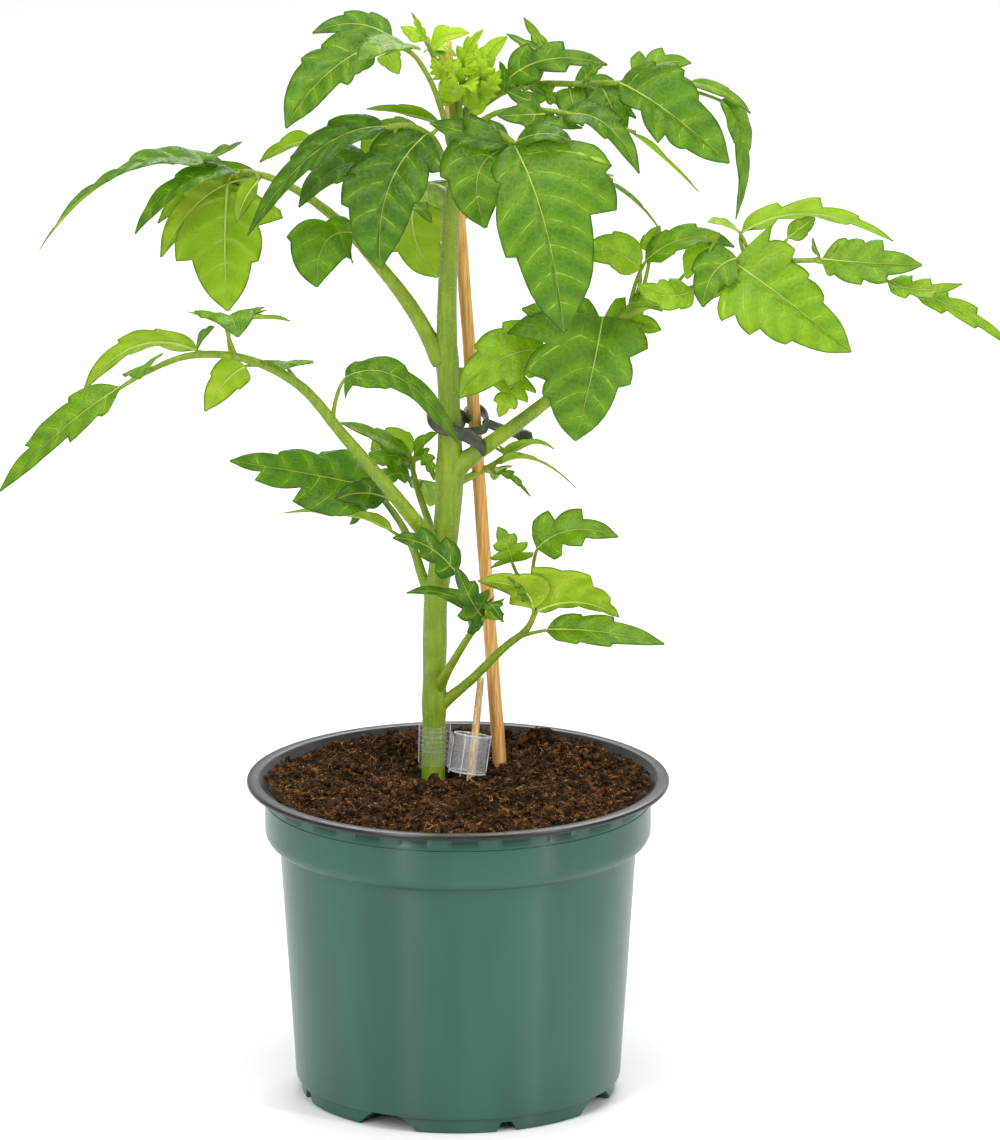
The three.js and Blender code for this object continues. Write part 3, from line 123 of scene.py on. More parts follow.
class Form(Enum):
    """Outlines of leaflets, each named for its look or its place."""

    PLAIN = LeafletForm(
        ((0.5, 0.27, 0.52, 0.23),),
        ((0.56, 0.26, 0.58, 0.22),),
    )
    SLIM = LeafletForm(
        ((0.46, 0.17, 0.48, 0.14),),
        ((0.58, 0.15, 0.6, 0.12),),
    )
    OVATE = LeafletForm(
        ((0.34, 0.3, 0.36, 0.25), (0.62, 0.25, 0.63, 0.19)),
        ((0.3, 0.28, 0.32, 0.24), (0.58, 0.27, 0.59, 0.2)),
    )
    LOBED = LeafletForm(
        ((0.34, 0.28, 0.37, 0.15), (0.66, 0.22, 0.68, 0.11)),
        ((0.3, 0.29, 0.33, 0.16), (0.6, 0.24, 0.62, 0.12)),
    )
    HEART = LeafletForm(
        ((0.24, 0.42, 0.27, 0.33), (0.6, 0.32, 0.62, 0.25)),
        ((0.22, 0.43, 0.26, 0.34), (0.56, 0.34, 0.58, 0.26)),
    )
    FERN = LeafletForm(
        ((0.26, 0.3, 0.3, 0.15), (0.52, 0.27, 0.55, 0.13), (0.76, 0.16, 0.78, 0.09)),
        ((0.24, 0.31, 0.28, 0.15), (0.5, 0.28, 0.53, 0.13), (0.74, 0.17, 0.76, 0.09)),
    )
    FRONT_BIG = LeafletForm(
        ((0.2, 0.17, 0.22, 0.15), (0.61, 0.23, 0.62, 0.18)),
        ((0.32, 0.4, 0.34, 0.36), (0.52, 0.36, 0.51, 0.23)),
    )
    BROAD = LeafletForm(
        ((0.28, 0.72, 0.3, 0.4), (0.57, 0.52, 0.58, 0.33), (0.72, 0.34, 0.74, 0.28)),
        ((0.04, 0.34, 0.08, 0.32), (0.22, 0.4, 0.3, 0.27), (0.49, 0.32, 0.53, 0.23)),
        0.05,
    )
    RIGHT_BIG = LeafletForm(
        ((0.05, 0.3, 0.1, 0.25), (0.24, 0.4, 0.29, 0.31), (0.45, 0.36, 0.48, 0.28),
         (0.67, 0.25, 0.69, 0.2)),
        ((0.08, 0.36, 0.14, 0.26), (0.34, 0.31, 0.37, 0.22), (0.52, 0.24, 0.53, 0.21),
         (0.68, 0.18, 0.7, 0.14)),
        0.15,
    )
    PALE_HANG = LeafletForm(
        ((0.3, 0.43, 0.36, 0.25), (0.63, 0.25, 0.64, 0.2)),
        ((0.34, 0.33, 0.36, 0.32), (0.63, 0.37, 0.62, 0.25)),
    )
    FRONT_LEFT = LeafletForm(
        ((0.3, 0.22, 0.32, 0.21), (0.66, 0.27, 0.67, 0.22)),
        ((0.17, 0.27, 0.25, 0.2), (0.52, 0.22, 0.53, 0.2)),
    )
    TERM_RIGHT = LeafletForm(
        ((0.24, 0.2, 0.22, 0.12), (0.5, 0.2, 0.44, 0.09), (0.72, 0.16, 0.66, 0.07),
         (0.86, 0.08, 0.85, 0.05)),
        ((0.3, 0.12, 0.31, 0.08), (0.54, 0.09, 0.53, 0.05), (0.7, 0.07, 0.72, 0.05),
         (0.86, 0.04, 0.87, 0.03)),
        0.9,
    )
    TERM_LEFT = LeafletForm(
        ((0.34, 0.19, 0.36, 0.16), (0.74, 0.15, 0.72, 0.09)),
        ((0.24, 0.2, 0.26, 0.16), (0.5, 0.19, 0.49, 0.12)),
        0.9,
    )
    TOP_LEFT = LeafletForm(
        ((0.36, 0.225, 0.38, 0.205), (0.54, 0.24, 0.56, 0.2)),
        ((0.28, 0.18, 0.3, 0.17), (0.41, 0.215, 0.44, 0.15)),
    )
    TOP_END = LeafletForm(
        ((0.3, 0.12, 0.32, 0.115), (0.575, 0.24, 0.58, 0.15), (0.72, 0.165, 0.74, 0.14)),
        ((0.19, 0.25, 0.21, 0.23), (0.42, 0.31, 0.44, 0.27), (0.6, 0.235, 0.62, 0.2)),
    )
    TURNED = LeafletForm(
        ((0.3, 0.18, 0.32, 0.17), (0.62, 0.42, 0.64, 0.36)),
        ((0.2, 0.42, 0.24, 0.36), (0.5, 0.36, 0.52, 0.3)),
    )
    LONG_LOBED = LeafletForm(
        ((0.16, 0.22, 0.19, 0.19), (0.48, 0.29, 0.49, 0.21), (0.7, 0.22, 0.71, 0.14)),
        ((0.22, 0.25, 0.25, 0.23), (0.42, 0.24, 0.44, 0.21), (0.62, 0.25, 0.64, 0.14)),
    )
    SHOOT_LEFT = LeafletForm(
        ((0.42, 0.18, 0.44, 0.15), (0.7, 0.11, 0.71, 0.09)),
        ((0.6, 0.24, 0.54, 0.12), (0.84, 0.12, 0.76, 0.04)),
    )
    PALE_RIGHT = LeafletForm(
        ((0.06, 0.6, 0.32, 0.42), (0.56, 0.4, 0.62, 0.25), (0.82, 0.18, 0.85, 0.1)),
        ((0.25, 0.1, 0.27, 0.09), (0.5, 0.1, 0.52, 0.08), (0.8, 0.08, 0.82, 0.06)),
        0.1,
    )
    FOLD_LOBE = LeafletForm(
        ((0, 0.34, 0.1, 0.18), (0.4, 0.2, 0.43, 0.16)),
        ((0.1, 0.12, 0.16, 0.12), (0.48, 0.15, 0.52, 0.11)),
        0.1,
    )


@dataclass(frozen=True)
class LeafletPlan:
    """One leaflet.

    at is its share of the way along the stalk numbered on. base, mid and tip are places on its midrib, and
    face is where its top side faces. fold and twist are in degrees.
    """

    at: float
    base: Place
    mid: Place
    tip: Place
    face: Place
    form: Form
    width: float
    fold: float = 12.0
    twist: float = 0.0
    on: int = 0


@dataclass(frozen=True)
class LeafPlan:
    """A compound leaf or young shoot: its stalks, as places with radii, and its leaflets.

    tone runs from 0, the darkest and oldest green, to 1, the youngest. quilt is how high the blade stands
    between its veins, in millimetres, and slim is a factor on the stalks' radii.
    """

    name: str
    stalks: tuple[tuple[Place, ...], ...]
    leaflets: tuple[LeafletPlan, ...]
    tone: float = 0.3
    quilt: float = 1.1
    slim: float = 1.0


def leaf_plan(name: str, stalks: tuple[tuple[Place, ...], ...], *rows: tuple, **look: float) -> LeafPlan:
    """A leaf's plan from one row for each leaflet, in the order of LeafletPlan's fields."""
    return LeafPlan(name, stalks, tuple(LeafletPlan(*row) for row in rows), **look)


LEAVES: tuple[LeafPlan, ...] = (
    leaf_plan(
        "leaf_low_left",
        (
            ((440, 552, 18, 2.9), (400, 502, 7, 2.6), (345, 437, 0, 2.1), (298, 384, -3, 1.8),
             (243, 358, -6, 1.5), (188, 356, -8, 1.2), (143, 374, -11, 0.9), (120, 388, -12, 0.7)),
        ),
        (1, (121, 387, -12), (62, 430, -17), (0, 491, -16), (-0.5, -0.55, 0.7), Form.TERM_LEFT, 0.8),
        (0.9, (146, 369, -12), (143, 366, -22), (140, 379, -31), (-0.5, -0.1, 0.85), Form.OVATE, 1.3, 5),
        (0.78, (199, 351, -6), (137, 345, 0), (84, 390, 3), (-0.15, 0.62, 0.7), Form.OVATE, 0.55),
        (0.79, (196, 350, -9), (204, 336, -13), (214, 327, -16), (-0.6, -0.4, 0.6), Form.SLIM, 1.2),
        (0.72, (226, 327, -9), (230, 316, -22), (238, 337, -34), (0, -0.1, 1), Form.HEART, 1.15, 14),
        (0.73, (232, 322, -5), (262, 318, -2), (290, 321, 0), (0.1, 0.45, 0.85), Form.SLIM, 1.2),
        (0.65, (245, 366, -5), (226, 381, -2), (205, 411, 0), (0.3, 0.8, 0.5), Form.PLAIN, 1),
        (0.5, (288, 368, -2), (286, 362, -12), (283, 370, -21), (0, -0.05, 1), Form.HEART, 1.2, 6),
        (0.44, (345, 378, -2), (402, 380, -5), (461, 447, 3), (0.35, -0.55, 0.75), Form.FOLD_LOBE, 0.72),
        tone=0.34, slim=0.92,
    ),
    leaf_plan(
        "leaf_high_left",
        (
            ((443, 362, 18, 3), (410, 305, 20, 2.7), (372, 257, 21, 2.2), (340, 222, 22, 1.9),
             (297, 190, 24, 1.5), (262, 175, 25, 1.2), (228, 170, 26, 1)),
        ),
        (1, (228, 169, 26), (126, 171, 24), (40, 249, 20), (-0.1, -0.05, 1), Form.SLIM, 0.75, 12, 25),
        (0.97, (238, 173, 22), (181, 187, 15), (135, 234, 9), (-0.5, -0.25, 0.85), Form.SLIM, 1.1),
        (0.9, (262, 177, 28), (205, 196, 33), (161, 257, 36), (-0.35, 0.75, 0.5), Form.SLIM, 0.95),
        (0.93, (250, 178, 30), (203, 188, 34), (158, 223, 36), (-0.3, 0.7, 0.6), Form.SLIM, 1),
        (0.97, (228, 182, 31), (225, 245, 35), (228, 311, 35), (0, 1, 0.1), Form.PALE_HANG, 1),
        (0.91, (258, 181, 21), (246, 197, 19), (236, 222, 18), (-0.3, 0.75, 0.45), Form.PLAIN, 1),
        (0.56, (354, 233, 17), (325, 243, 11), (317, 287, 9), (0.05, -0.95, 0.35), Form.TURNED, 1.1),
        (1, (206, 156, 24), (222, 153, 19), (242, 142, 13), (0, -0.45, 0.88), Form.SLIM, 1.2),
        (0.8, (318, 142, 30), (290, 144, 33), (260, 162, 34), (-0.2, 0.7, 0.6), Form.SLIM, 1.1),
        tone=0.25, quilt=1.5, slim=0.92,
    ),
    leaf_plan(
        "leaf_front_left",
        (
            ((456, 172, 16, 1.5), (444, 160, 9, 1.3), (432, 138, 2, 1.2), (410, 126, -2, 1),
             (388, 127, -4, 0.9)),
        ),
        (0.66, (428, 133, 0), (388, 190, -10), (381, 268, -10), (-0.2, -0.9, 0.4), Form.FRONT_LEFT, 1.04),
        (1, (387, 127, -4), (316, 152, -10), (248, 235, -12), (-0.5, -0.55, 0.65), Form.OVATE, 0.42),
        (0.8, (424, 133, 4), (391, 133, 10), (362, 156, 14), (-0.1, 0.65, 0.75), Form.PLAIN, 1.15),
        (0.6, (440, 123, 6), (405, 113, 9), (367, 109, 10), (0.1, 0.5, 0.85), Form.PLAIN, 0.9),
        (0.92, (370, 163, 1), (333, 171, -2), (299, 207, -4), (-0.45, -0.45, 0.75), Form.PLAIN, 1.1),
        tone=0.08, quilt=1.35,
    ),
    leaf_plan(
        "leaf_back_left",
        (
            ((450, 198, 18, 1.4), (438, 188, 26, 1.3), (424, 188, 34, 1.1), (414, 198, 38, 1)),
        ),
        (1, (414, 200, 38), (416, 240, 43), (438, 277, 43), (0.15, 1, 0.1), Form.OVATE, 1.3),
        (0.95, (412, 203, 34), (421, 210, 30), (432, 223, 28), (0.2, -0.4, 0.8), Form.SLIM, 1.6),
        (0.85, (420, 190, 48), (426, 190, 66), (430, 222, 80), (0, 0.2, 1), Form.OVATE, 1),
        (0.7, (440, 192, 40), (450, 200, 56), (452, 232, 68), (0.3, 0.3, 0.9), Form.OVATE, 0.9),
    ),
    leaf_plan(
        "leaf_top_left",
        (
            ((451, 144, 15, 1.15), (441, 108, 3, 0.95), (428, 76, -3, 0.85), (410, 52, -3, 0.75),
             (378, 42, -4, 0.7)),
        ),
        (1, (375, 45, -4), (325, 76, -9), (286, 128, -10), (-0.3, -0.8, 0.55), Form.TOP_LEFT, 1.05),
        (0.92, (392, 38, 0), (355, 24, 3), (313, 33, 3), (0, -0.75, 0.65), Form.OVATE, 0.62),
        (0.8, (409, 47, -4), (385, 46, -15), (357, 62, -24), (-0.1, -0.45, 0.9), Form.HEART, 0.8),
        (0.86, (386, 54, -2), (391, 61, 0), (399, 74, 0), (0, 0.9, 0.4), Form.PLAIN, 1.6),
        tone=0.42, quilt=1.3,
    ),
    leaf_plan(
        "shoot_tip",
        (
            ((456, 126, 14, 1.2), (449, 92, 9, 1.1), (438, 66, 6, 0.9), (428, 44, 5, 0.8)),
            ((458, 126, 14, 1.2), (460, 95, 10, 1.1), (464, 72, 8, 0.8)),
            ((459, 126, 16, 1.2), (472, 100, 15, 1.1), (484, 82, 14, 0.8)),
        ),
        (1, (428, 44, 5), (421, 29, 4), (412, 13, 4), (-0.7, -0.5, 0.3), Form.FERN, 0.8),
        (0.98, (431, 46, 4), (446, 36, 1), (469, 33, -1), (0, -0.6, 0.8), Form.SLIM, 1.5),
        (0.95, (424, 40, 6), (413, 34, 8), (401, 27, 8), (0, -0.7, 0.6), Form.PLAIN, 1.1),
        (0.55, (445, 78, 6), (438, 68, 2), (432, 58, 0), (-0.2, -0.9, 0.3), Form.FERN, 1.1),
        (0.75, (440, 58, 7), (437, 48, 12), (424, 52, 16), (0, -0.4, 0.9), Form.SLIM, 1.2),
        (1, (464, 74, 8), (467, 52, 6), (483, 30, 4), (-0.5, -0.8, 0.2), Form.FERN, 0.85, 12, 0, 1),
        (0.85, (462, 82, 8), (452, 68, 4), (438, 64, 2), (-0.2, -0.8, 0.5), Form.FERN, 1.1, 12, 0, 1),
        (0.7, (461, 92, 8), (468, 84, 2), (474, 92, -4), (0, -0.6, 0.8), Form.FERN, 1.2, 12, 0, 1),
        (1, (484, 76, 15), (489, 55, 17), (507, 37, 18), (-0.6, -0.7, 0.2), Form.PLAIN, 1, 12, 0, 2),
        (0.6, (459, 100, 8), (450, 86, 5), (446, 66, 4), (-0.2, -0.9, 0.3), Form.SLIM, 1.5, 12, 0, 1),
        (0.62, (474, 102, 13), (482, 84, 10), (486, 62, 9), (0.3, -0.9, 0.2), Form.SLIM, 1.3, 12, 0, 2),
        (0.45, (469, 108, 13), (470, 92, 9), (477, 72, 6), (-0.2, -0.95, 0.2), Form.SLIM, 1.2, 12, 0, 2),
        (0.4, (468, 110, 16), (482, 100, 17), (493, 82, 17), (0.4, -0.85, 0.2), Form.SLIM, 1.2, 12, 0, 2),
        (0.4, (450, 106, 10), (444, 94, 8), (443, 78, 6), (-0.4, -0.85, 0.3), Form.SLIM, 1.2, 12, 0, 0),
        (0.92, (433, 50, 8), (444, 48, 12), (456, 56, 14), (0, -0.5, 0.8), Form.FERN, 1.3, 12, 0, 0),
        (1, (466, 72, 12), (474, 58, 15), (470, 42, 17), (-0.1, -0.95, 0.1), Form.SLIM, 1.3, 12, 0, 1),
        (0.92, (482, 88, 12), (480, 70, 6), (474, 54, 3), (-0.1, -0.95, 0.2), Form.FERN, 1.2, 12, 0, 2),
        (0.75, (480, 94, 11), (491, 84, 6), (500, 70, 4), (0.3, -0.9, 0.2), Form.FERN, 1, 12, 0, 2),
        tone=1,
    ),
    leaf_plan(
        "leaf_top_right",
        (
            ((459, 128, 19, 1.4), (482, 106, 21, 1.3), (505, 91, 19, 1.2), (540, 84, 13, 1.1),
             (580, 84, 5, 1), (618, 83, -3, 0.9)),
        ),
        (1, (620, 83, -4), (668, 112, -9), (729, 163, -10), (0.15, -0.85, 0.5), Form.TOP_END, 1.08),
        (0.9, (600, 86, 1), (612, 108, -4), (621, 141, -6), (0.05, -0.85, 0.5), Form.HEART, 0.95),
        (0.7, (570, 88, 8), (573, 103, 3), (583, 126, 0), (-0.1, -0.85, 0.5), Form.HEART, 1),
        (0.5, (538, 88, 12), (548, 96, 8), (562, 104, 5), (0, -0.85, 0.5), Form.FERN, 1.25),
        (0.3, (503, 92, 17), (505, 78, 14), (500, 62, 12), (-0.3, -0.9, 0.2), Form.FERN, 1),
        (0.8, (575, 82, 9), (598, 91, 9), (636, 118, 8), (0.1, -0.8, 0.6), Form.LOBED, 1.1),
        (0.97, (634, 78, 0), (660, 64, 4), (691, 63, 6), (0, -0.8, 0.6), Form.LOBED, 1.1),
        (0.94, (688, 83, 4), (722, 92, 5), (750, 113, 4), (0.25, -0.45, 0.85), Form.PLAIN, 0.5),
        (0.95, (720, 100, 6), (740, 142, 6), (736, 219, 6), (0.9, -0.4, 0.1), Form.SLIM, 0.95),
        (0.42, (510, 78, 11), (552, 59, 6), (607, 65, 2), (0, -0.8, 0.6), Form.LOBED, 0.72),
        (0.5, (546, 52, 14), (537, 37, 16), (524, 18, 16), (-0.5, -0.6, 0.5), Form.SLIM, 0.9),
        (0.45, (540, 52, 13), (523, 43, 15), (507, 34, 15), (-0.3, -0.5, 0.8), Form.SLIM, 0.8),
        (0.72, (582, 83, 0), (590, 73, -4), (604, 64, -6), (0, -0.7, 0.7), Form.FERN, 1),
        (0.4, (515, 87, 16), (530, 86, 11), (546, 96, 8), (0.1, -0.7, 0.7), Form.FERN, 0.8),
        tone=0.38, quilt=2,
    ),
    leaf_plan(
        "leaf_front_right",
        (
            ((461, 136, 14, 1.1), (500, 112, 0, 0.95), (545, 110, -8, 0.85), (590, 119, -9, 0.75),
             (634, 132, -11, 0.65)),
        ),
        (1, (634, 133, -9), (664, 158, -9), (698, 191, -9), (0.5, 0.35, 0.8), Form.SLIM, 0.6),
        (0.62, (562, 116, -6), (605, 124, -14), (639, 173, -18), (0.2, -0.55, 0.8), Form.OVATE, 0.62),
        (0.3, (520, 116, -6), (545, 122, -10), (582, 128, -12), (0, -0.4, 0.9), Form.OVATE, 0.85),
        (0.5, (545, 114, -9), (524, 115, -14), (498, 116, -18), (0, -0.8, 0.4), Form.HEART, 0.75),
        (0.42, (540, 106, -2), (524, 99, -3), (507, 92, -4), (0, -0.9, 0.35), Form.PLAIN, 0.9),
    ),
    leaf_plan(
        "leaf_front",
        (
            ((456, 156, 14, 1.5), (478, 133, -2, 1.4), (500, 134, -12, 1.2), (513, 143, -17, 1.1)),
        ),
        (1, (513, 143, -17), (545, 225, -31), (564, 333, -30), (0.12, -0.95, 0.3), Form.FRONT_BIG, 1),
        (0.92, (513, 147, -14), (479, 172, -20), (486, 228, -23), (-0.2, -0.85, 0.45), Form.HEART, 1.12),
        (0.97, (516, 142, -19), (545, 134, -22), (572, 142, -24), (0.1, -0.45, 0.88), Form.PLAIN, 0.9),
        (0.86, (510, 145, -15), (470, 134, -13), (430, 123, -11), (-0.1, -0.35, 0.9), Form.OVATE, 1.05),
        tone=0.22,
    ),
    leaf_plan(
        "leaf_back_right",
        (
            ((454, 206, 18, 1.5), (500, 196, 26, 1.4), (555, 184, 28, 1.2), (604, 180, 22, 1)),
        ),
        (1, (604, 180, 22), (636, 202, 20), (664, 236, 18), (0.5, 0.1, 0.85), Form.SLIM, 0.7),
        (0.85, (575, 184, 32), (580, 182, 50), (585, 212, 66), (0.1, 0.2, 1), Form.OVATE, 1),
        (0.6, (535, 190, 34), (535, 195, 52), (540, 225, 66), (0, 0.2, 1), Form.OVATE, 1),
    ),
    leaf_plan(
        "leaf_right",
        (
            ((452, 470, 18, 3.1), (485, 447, 14, 2.6), (520, 422, 9, 2.3), (560, 390, 4, 2),
             (598, 350, 1, 1.8), (628, 314, -2, 1.7), (668, 298, -4, 1.5), (704, 285, -6, 1.3),
             (740, 270, -8, 1.2), (780, 262, -10, 1), (820, 260, -12, 0.8)),
            ((816, 260, -12, 0.85), (850, 267, -13, 0.7), (885, 280, -15, 0.6), (914, 293, -16, 0.5)),
        ),
        (0.1, (822, 259, -13), (868, 263, -17), (922, 265, -20), (0.1, -0.7, 0.7), Form.LONG_LOBED, 1.05,
            12, 0, 1),
        (0.72, (888, 281, -15), (922, 290, -19), (962, 284, -22), (0.2, -0.6, 0.75), Form.LOBED, 0.72, 12,
            0, 1),
        (1, (914, 293, -16), (962, 312, -19), (1012, 347, -20), (0.25, -0.6, 0.75), Form.LOBED, 0.5, 12, 0,
            1),
        (0.8, (737, 258, -12), (713, 274, -15), (703, 307, -16), (0, -0.85, 0.5), Form.HEART, 1),
        (0.995, (819, 257, -12), (815, 247, -13), (813, 238, -14), (-0.7, -0.5, 0.3), Form.SLIM, 1.2),
        (0.84, (733, 262, -10), (786, 300, -17), (851, 352, -18), (0.1, -0.9, 0.4), Form.RIGHT_BIG, 1),
        (0.85, (741, 232, -7), (812, 213, -2), (893, 241, 1), (0.1, 0.62, 0.75), Form.FERN, 0.55),
        (0.85, (739, 231, -9), (722, 223, -13), (708, 222, -15), (0, -0.4, 0.9), Form.SLIM, 1.3),
        (0.9, (788, 238, -7), (802, 227, -6), (815, 218, -5), (0.2, -0.9, 0.3), Form.PLAIN, 1.1),
        (0.555, (640, 270, -4), (612, 252, -7), (583, 259, -9), (0, -0.7, 0.7), Form.PLAIN, 1.2),
        (0.56, (645, 262, -4), (688, 238, -7), (734, 247, -9), (0.1, -0.55, 0.8), Form.OVATE, 0.62),
        (0.58, (650, 252, -3), (652, 240, -1), (660, 226, 1), (-0.3, -0.8, 0.4), Form.PLAIN, 1.3),
        (0.64, (684, 274, -6), (698, 256, -9), (720, 233, -10), (-0.6, -0.5, 0.6), Form.SLIM, 1.4),
        (0.7, (694, 291, -9), (664, 296, -13), (638, 285, -15), (0, -0.75, 0.65), Form.OVATE, 1.05),
        (0.56, (628, 305, -4), (645, 302, -7), (662, 311, -9), (0.1, -0.6, 0.8), Form.PLAIN, 0.9),
        (0.5, (603, 317, -1), (591, 378, -11), (575, 441, -13), (-0.1, -0.92, 0.35), Form.BROAD, 1),
        (0.505, (604, 318, 1), (634, 322, -1), (661, 330, -2), (0, -0.9, 0.4), Form.LOBED, 1.35),
        (0.495, (600, 318, 1), (562, 316, 0), (522, 309, -1), (0, -0.9, 0.4), Form.OVATE, 0.9),
        (0.36, (545, 350, 3), (500, 360, -3), (459, 398, -4), (-0.2, -0.85, 0.45), Form.OVATE, 1.05),
        (0.33, (523, 374, 4), (510, 394, 0), (499, 417, -2), (-0.1, -0.95, 0.3), Form.FERN, 1.45),
        tone=0.55,
    ),
    leaf_plan(
        "leaf_back_mid",
        (
            ((452, 376, 18, 2), (490, 370, 32, 1.7), (540, 362, 50, 1.4), (585, 356, 66, 1.1)),
        ),
        (1, (585, 356, 66), (600, 362, 82), (612, 388, 96), (0.3, 0.5, 0.8), Form.OVATE, 1.1),
        (0.8, (556, 360, 60), (560, 372, 76), (572, 402, 86), (0.1, 0.6, 0.7), Form.OVATE, 1),
        (0.78, (560, 352, 52), (590, 345, 44), (625, 356, 36), (0.3, -0.2, 0.9), Form.OVATE, 0.9),
        (0.5, (515, 362, 48), (505, 368, 64), (500, 384, 76), (-0.2, 0.6, 0.7), Form.OVATE, 0.9),
    ),
    leaf_plan(
        "shoot_right",
        (
            ((456, 482, 22, 1.3), (476, 474, 27, 1.1), (497, 462, 28, 0.8)),
        ),
        (0.95, (503, 456, 27), (530, 443, 24), (554, 449, 22), (0, 0.5, 0.8), Form.SLIM, 1),
        (1, (502, 462, 26), (536, 460, 22), (575, 487, 18), (0.2, 0.3, 0.9), Form.FERN, 0.6),
        (0.85, (496, 474, 27), (510, 476, 24), (530, 496, 22), (0.2, -0.3, 0.9), Form.FERN, 0.7),
        (1, (506, 455, 32), (512, 452, 38), (520, 456, 44), (0, -0.3, 0.9), Form.FERN, 1.3),
        (0.9, (496, 468, 32), (496, 470, 40), (494, 480, 46), (0, 0.2, 0.9), Form.FERN, 1.2),
        tone=0.5,
    ),
    leaf_plan(
        "shoot_left",
        (
            ((437, 610, 20, 1.9), (424, 580, 20, 1.7), (414, 550, 21, 1.4), (400, 522, 21, 1.2),
             (384, 500, 20, 1)),
        ),
        (1, (380, 489, 19), (308, 474, 13), (230, 461, 9), (-0.05, -0.75, 0.65), Form.SHOOT_LEFT, 1),
        (0.98, (386, 498, 14), (362, 493, 10), (336, 499, 8), (0, -0.9, 0.4), Form.PLAIN, 1),
        (0.58, (392, 531, 18), (346, 514, 14), (284, 513, 10), (-0.1, 0.4, 0.9), Form.SLIM, 0.8),
        (0.95, (378, 500, 26), (366, 510, 30), (350, 524, 32), (0, -0.4, 0.9), Form.PLAIN, 1.2),
        tone=0.2,
    ),
    leaf_plan(
        "shoot_axil",
        (
            ((441, 560, 25, 1.5), (430, 525, 28, 1.3), (418, 490, 29, 1.1), (411, 462, 29, 0.8)),
        ),
        (1, (410, 462, 28), (388, 456, 23), (362, 470, 18), (0, -0.55, 0.8), Form.FERN, 1.2),
        (1, (411, 455, 31), (394, 440, 35), (371, 450, 37), (0, 0.7, 0.6), Form.PLAIN, 1.4),
        (0.85, (410, 478, 26), (394, 474, 20), (376, 486, 15), (0, -0.7, 0.7), Form.FERN, 1.2),
        (1, (404, 452, 27), (374, 436, 22), (341, 423, 17), (0.2, -0.4, 0.85), Form.SLIM, 0.9),
        (1, (414, 456, 27), (424, 441, 25), (437, 433, 24), (-0.5, -0.5, 0.6), Form.SLIM, 1.2),
        (0.9, (418, 452, 26), (428, 462, 23), (434, 480, 21), (0.2, -0.95, 0.2), Form.FERN, 0.9),
        (0.7, (422, 480, 32), (428, 492, 38), (430, 506, 44), (0.2, 0.3, 0.9), Form.PLAIN, 1.4),
        tone=0.4,
    ),
    leaf_plan(
        "leaf_low_front",
        (
            ((438, 688, 17, 2.2), (452, 664, 9, 1.7), (470, 635, 3, 1.4), (484, 618, 0, 1.1)),
        ),
        (1, (484, 618, 2), (472, 602, -3), (456, 567, -4), (0.2, -0.85, 0.4), Form.FERN, 1.15),
        (1, (487, 617, 1), (489, 604, -6), (503, 622, -12), (0.2, -0.5, 0.8), Form.FERN, 1.1),
        (0.97, (478, 613, 1), (444, 594, 0), (407, 593, -2), (-0.1, -0.35, 0.9), Form.SLIM, 0.8),
        (0.8, (457, 574, 5), (428, 547, 1), (393, 538, -1), (-0.1, -0.65, 0.75), Form.LOBED, 0.95),
        tone=0.1, slim=0.8,
    ),
    leaf_plan(
        "leaf_low_right",
        (
            ((438, 707, 18, 2.3), (470, 681, 14, 2), (505, 647, 9, 1.7), (527, 629, 6, 1.4),
             (536, 611, 4, 1.1)),
        ),
        (1, (537, 611, 3), (578, 602, 6), (619, 617, 7), (0, 0.85, 0.5), Form.PALE_RIGHT, 1),
        (0.98, (533, 609, 2), (519, 588, -1), (478, 581, -4), (-0.1, 0.8, 0.5), Form.SLIM, 1.5),
        (0.76, (546, 630, 1), (600, 632, -4), (664, 644, -8), (0.1, -0.6, 0.8), Form.OVATE, 0.6),
        (1, (512, 562, 6), (508, 548, 2), (498, 527, 0), (0, -0.9, 0.35), Form.FERN, 1.6),
        (1, (537, 549, 6), (572, 530, 2), (618, 537, -2), (0.1, -0.8, 0.6), Form.LOBED, 1),
        (0.95, (534, 598, 2), (522, 584, -1), (508, 577, -3), (0, -0.8, 0.5), Form.FERN, 1.1),
        tone=0.5, slim=0.78,
    ),
)

STEM: tuple[Place, ...] = (
    (433.5, 812, 18, 4), (433.5, 770, 18, 3.9), (434, 738, 18, 3.8), (434.5, 700, 18, 3.8), (435, 640, 18, 4),
    (436, 600, 18, 3.9), (441, 565, 18, 3.8), (446, 530, 18, 4.3), (449, 495, 18, 4.5), (450, 455, 18, 4.1),
    (449, 400, 18, 3.6), (447, 350, 18, 3.4), (447, 300, 18, 3.2), (449, 250, 18, 2.8), (452, 200, 17, 2.3),
    (455, 165, 16, 1.8), (457, 130, 15, 1.5), (458, 112, 14, 1.1),
)


# ---- Shader maths ----


